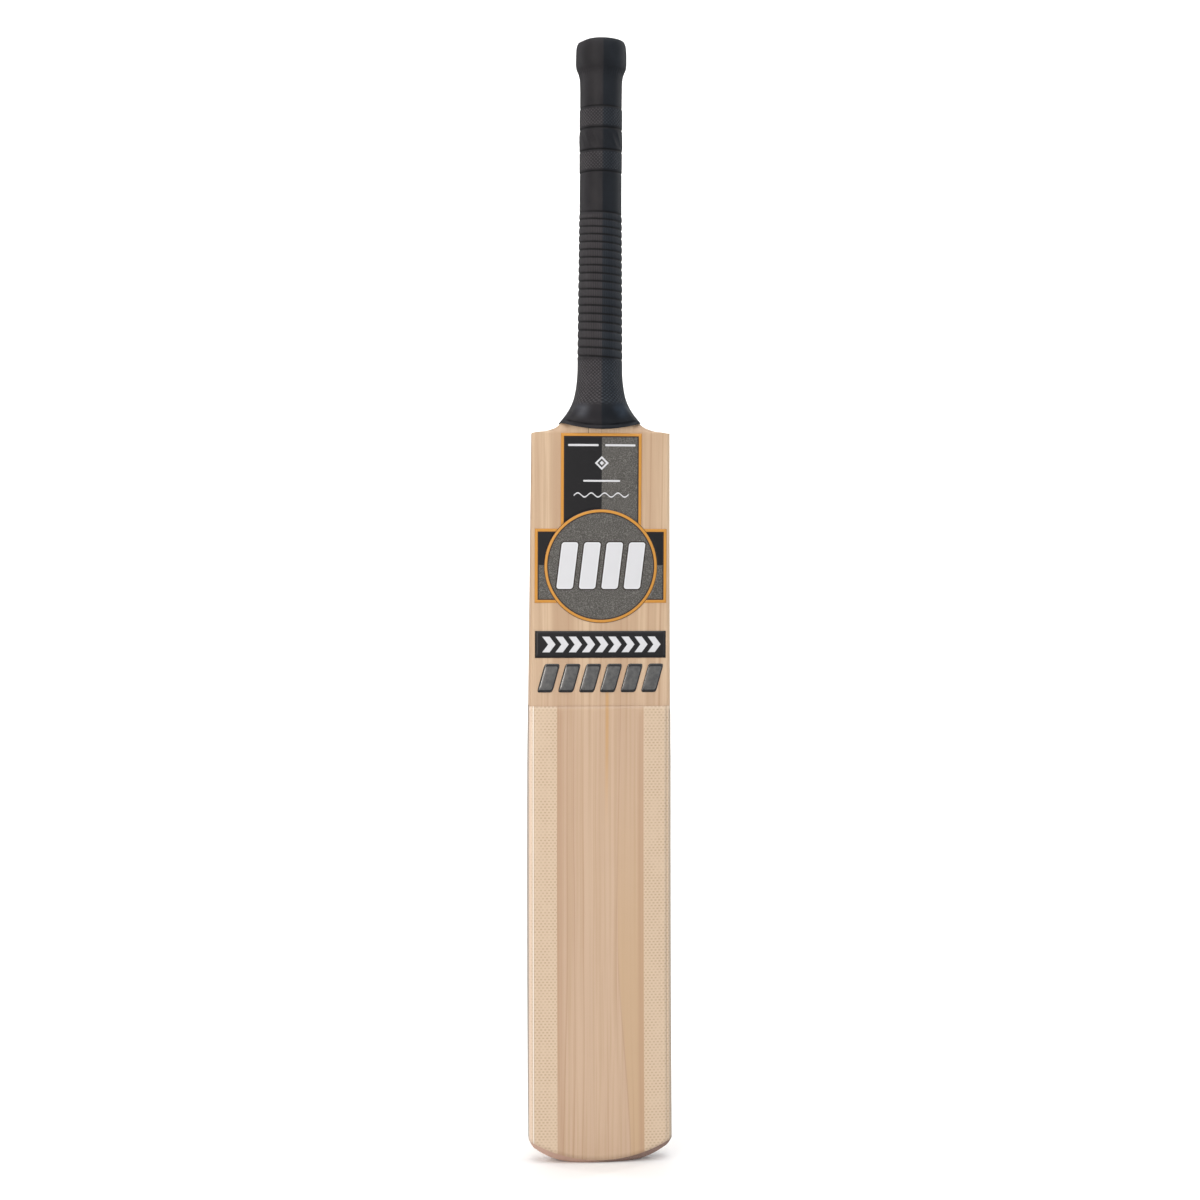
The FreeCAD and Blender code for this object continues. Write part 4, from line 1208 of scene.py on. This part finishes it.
def gelMaterial():
    material, nodes, shader = newMaterial("domed_gel")
    uv = nodes.add("ShaderNodeUVMap", uv_map="surface")
    split = nodes.add("ShaderNodeSeparateXYZ")
    nodes.link(uv.outputs[0], split.inputs[0])
    vector = objectXyz(nodes)[0]
    out = split.outputs[1]
    speckle = nodes.group("printSpeckle", Vector=vector, Size=0.4)
    cloud = nodes.noise(vector, 0.3, 1.0)
    colour = nodes.mix(nodes.step(cloud, 0.2, 0.8), bars["gelDark"], bars["gelLight"])
    colour = nodes.mix(nodes.times(nodes.step(speckle["Speckle"], 0.5, 0.75), 0.4), colour,
                       bars["fleck"])
    colour = nodes.mix(nodes.step(out, bars["rimStart"], 0.84), colour, bars["outline"])
    nodes.link(colour, shader.inputs["Base Color"])
    nodes.link(nodes.times(nodes.step(out, 0.86, 0.80), 0.55), shader.inputs["Metallic"])
    nodes.link(nodes.plus(0.30, nodes.times(speckle["Speckle"], 0.15)), shader.inputs["Roughness"])
    shader.inputs["Coat Weight"].default_value = 1.0
    shader.inputs["Coat Roughness"].default_value = 0.05
    return material


def makeBars():
    # each bar is rings shrinking to a pole; its height falls off as a rounded pillow
    material = gelMaterial()
    pitch = (2 * bars["half"] - bars["slant"] + bars["gap"]) / bars["count"]
    halfX = (pitch - bars["gap"]) / 2
    halfZ = (bars["top"] - bars["bottom"]) / 2
    turn = np.linspace(0, 2 * np.pi, 97)[None, :]
    power = 2 / 9.0
    outlineX = halfX * np.sign(np.cos(turn)) * np.abs(np.cos(turn)) ** power
    outlineZ = halfZ * np.sign(np.sin(turn)) * np.abs(np.sin(turn)) ** power
    outward = np.array([0, 0.2, 0.4, 0.58, 0.7, 0.78, 0.85, 0.9, 0.94, 0.97, 0.99, 1, 1])[:, None]
    dome = bars["height"] * (1 - outward ** 3.4) ** 0.55
    dome[-1] = -0.05
    for index in range(bars["count"]):
        centre = -bars["half"] + index * pitch + halfX + bars["slant"] / 2
        up = outlineZ * outward
        x = centre + outlineX * outward + up * bars["slant"] / (2 * halfZ)
        z = (bars["bottom"] + bars["top"]) / 2 + up
        y = onFace(x * mm, z * mm, (dome + 0.02) * mm)
        name = "domed_bar_%d" % (index + 1)
        closeRing = (x[-1:] * mm, y[-1:], z[-1:] * mm)
        lastX = np.vstack([closeRing[0], np.full_like(closeRing[0], centre * mm)])
        lastZ = np.vstack([closeRing[2],
            np.full_like(closeRing[2], (bars["bottom"] + bars["top"]) / 2 * mm)])
        lastY = onFace(lastX, lastZ, -0.03 * mm)
        lastY[0] = y[-1]
        uvTop = (turn / (2 * np.pi) + 0 * outward, outward + 0 * turn)
        uvBase = (np.vstack([turn, turn]) / (2 * np.pi), np.ones_like(lastX))
        addPiece("gel_bar_%d" % (index + 1), [(x * mm, y, z * mm), (lastX, lastY, lastZ)], [name],
                 material, uvs=[uvTop, uvBase], sharpAngle=70)


makeBars()
print("raised bars done")


studio = {
    "cameraDistance": 1.40,
    "cameraYaw": math.radians(5.0),
    "centreZ": 0.4244,
    "frameHeight": 0.912,          # metres of the bat's plane that the square frame shows
    "worldStrength": 0.30,
    # name, place, target, size, watts, colour
    "lights": (
        ("key_left", (-0.95, -1.35, 0.75), (0, 0, 0.45), (0.25, 1.5), 13, (1.0, 0.94, 0.88)),
        ("fill_right", (1.5, -1.0, 0.75), (0, 0, 0.45), (0.4, 1.5), 5, (0.82, 0.91, 1.0)),
        ("overhead", (0, -0.4, 2.6), (0, 0, 0), (2.6, 2.6), 51, (1, 1, 1)),
        ("backdrop_left", (-1.6, 0.9, 1.3), (-0.3, 2.5, 1.0), (1.0, 1.5), 34, (1, 1, 1)),
        ("backdrop_right", (1.6, 0.9, 1.3), (0.3, 2.5, 1.0), (1.0, 1.5), 34, (1, 1, 1)),
    ),
    "floorColour": (0.93, 0.93, 0.93, 1),
    "floorHalf": 4.0,
    "floorFront": -3.5,
    "floorFlat": 5.0,              # length of the flat part
    "floorRise": 3.0,
    "floorBend": 0.55,             # share of the rows before the curve starts
}


def makeFloor():
    # one large sheet: flat under the bat, then curving up behind it
    run = np.linspace(-1, 1, 41)[None, :] * studio["floorHalf"]
    path = np.linspace(0, 1, 61)[:, None]
    bend = studio["floorBend"]
    turn = np.clip((path - bend) / (1 - bend), 0, 1) * np.pi / 2
    flatY = studio["floorFront"] + path / bend * studio["floorFlat"]
    y = np.where(path < bend, flatY, studio["floorFront"] + studio["floorFlat"] + np.sin(turn))
    z = np.where(path < bend, 0.0, studio["floorRise"] * (1 - np.cos(turn)))
    x, y, z = run + 0 * path, y + 0 * run, z + 0 * run
    mesh = bpy.data.meshes.new("floor")
    index = np.arange(x.size).reshape(x.shape)
    quads = np.stack([index[:-1, :-1], index[:-1, 1:], index[1:, 1:], index[1:, :-1]], -1).reshape(-1, 4)
    mesh.from_pydata(np.stack([x, y, z - 0.0002], -1).reshape(-1, 3), [], quads)
    mesh.polygons.foreach_set("use_smooth", np.ones(len(mesh.polygons), bool))
    material, _, shader = newMaterial("floor")
    shader.inputs["Base Color"].default_value = studio["floorColour"]
    shader.inputs["Roughness"].default_value = 0.7
    mesh.materials.append(material)
    floor = bpy.data.objects.new("floor", mesh)
    bpy.context.scene.collection.objects.link(floor)
    floor.visible_glossy = False     # keeps its glare off the sides of the grip


def addSoftLight(name, place, target, size, power, colour):
    data = bpy.data.lights.new(name, "AREA")
    data.shape = "RECTANGLE"
    data.size, data.size_y = size
    data.energy = power
    data.color = colour
    light = bpy.data.objects.new(name, data)
    light.location = place
    aim(light, place, target)
    bpy.context.scene.collection.objects.link(light)


def aim(thing, place, target):
    direction = Vector(target) - Vector(place)
    thing.rotation_euler = direction.to_track_quat("-Z", "Y").to_euler()


def makeStudio():
    world = bpy.data.worlds.new("studio")
    world.use_nodes = True
    background = world.node_tree.nodes["Background"]
    background.inputs["Color"].default_value = (1, 1, 1, 1)
    background.inputs["Strength"].default_value = studio["worldStrength"]
    bpy.context.scene.world = world
    for light in studio["lights"]:
        addSoftLight(*light)
    bpy.context.scene.view_settings.view_transform = "Standard"
    camera = bpy.data.objects.new("camera", bpy.data.cameras.new("camera"))
    target = (0.0, -0.003, studio["centreZ"])
    yaw, distance = studio["cameraYaw"], studio["cameraDistance"]
    place = (target[0] - distance * math.sin(yaw), target[1] - distance * math.cos(yaw), target[2])
    camera.location = place
    aim(camera, place, target)
    camera.data.lens_unit = "FOV"
    camera.data.angle = 2 * math.atan(studio["frameHeight"] / 2 / distance)
    camera.data.clip_start = 0.05
    bpy.context.scene.collection.objects.link(camera)
    bpy.context.scene.camera = camera


makeFloor()
makeStudio()
print("studio done")
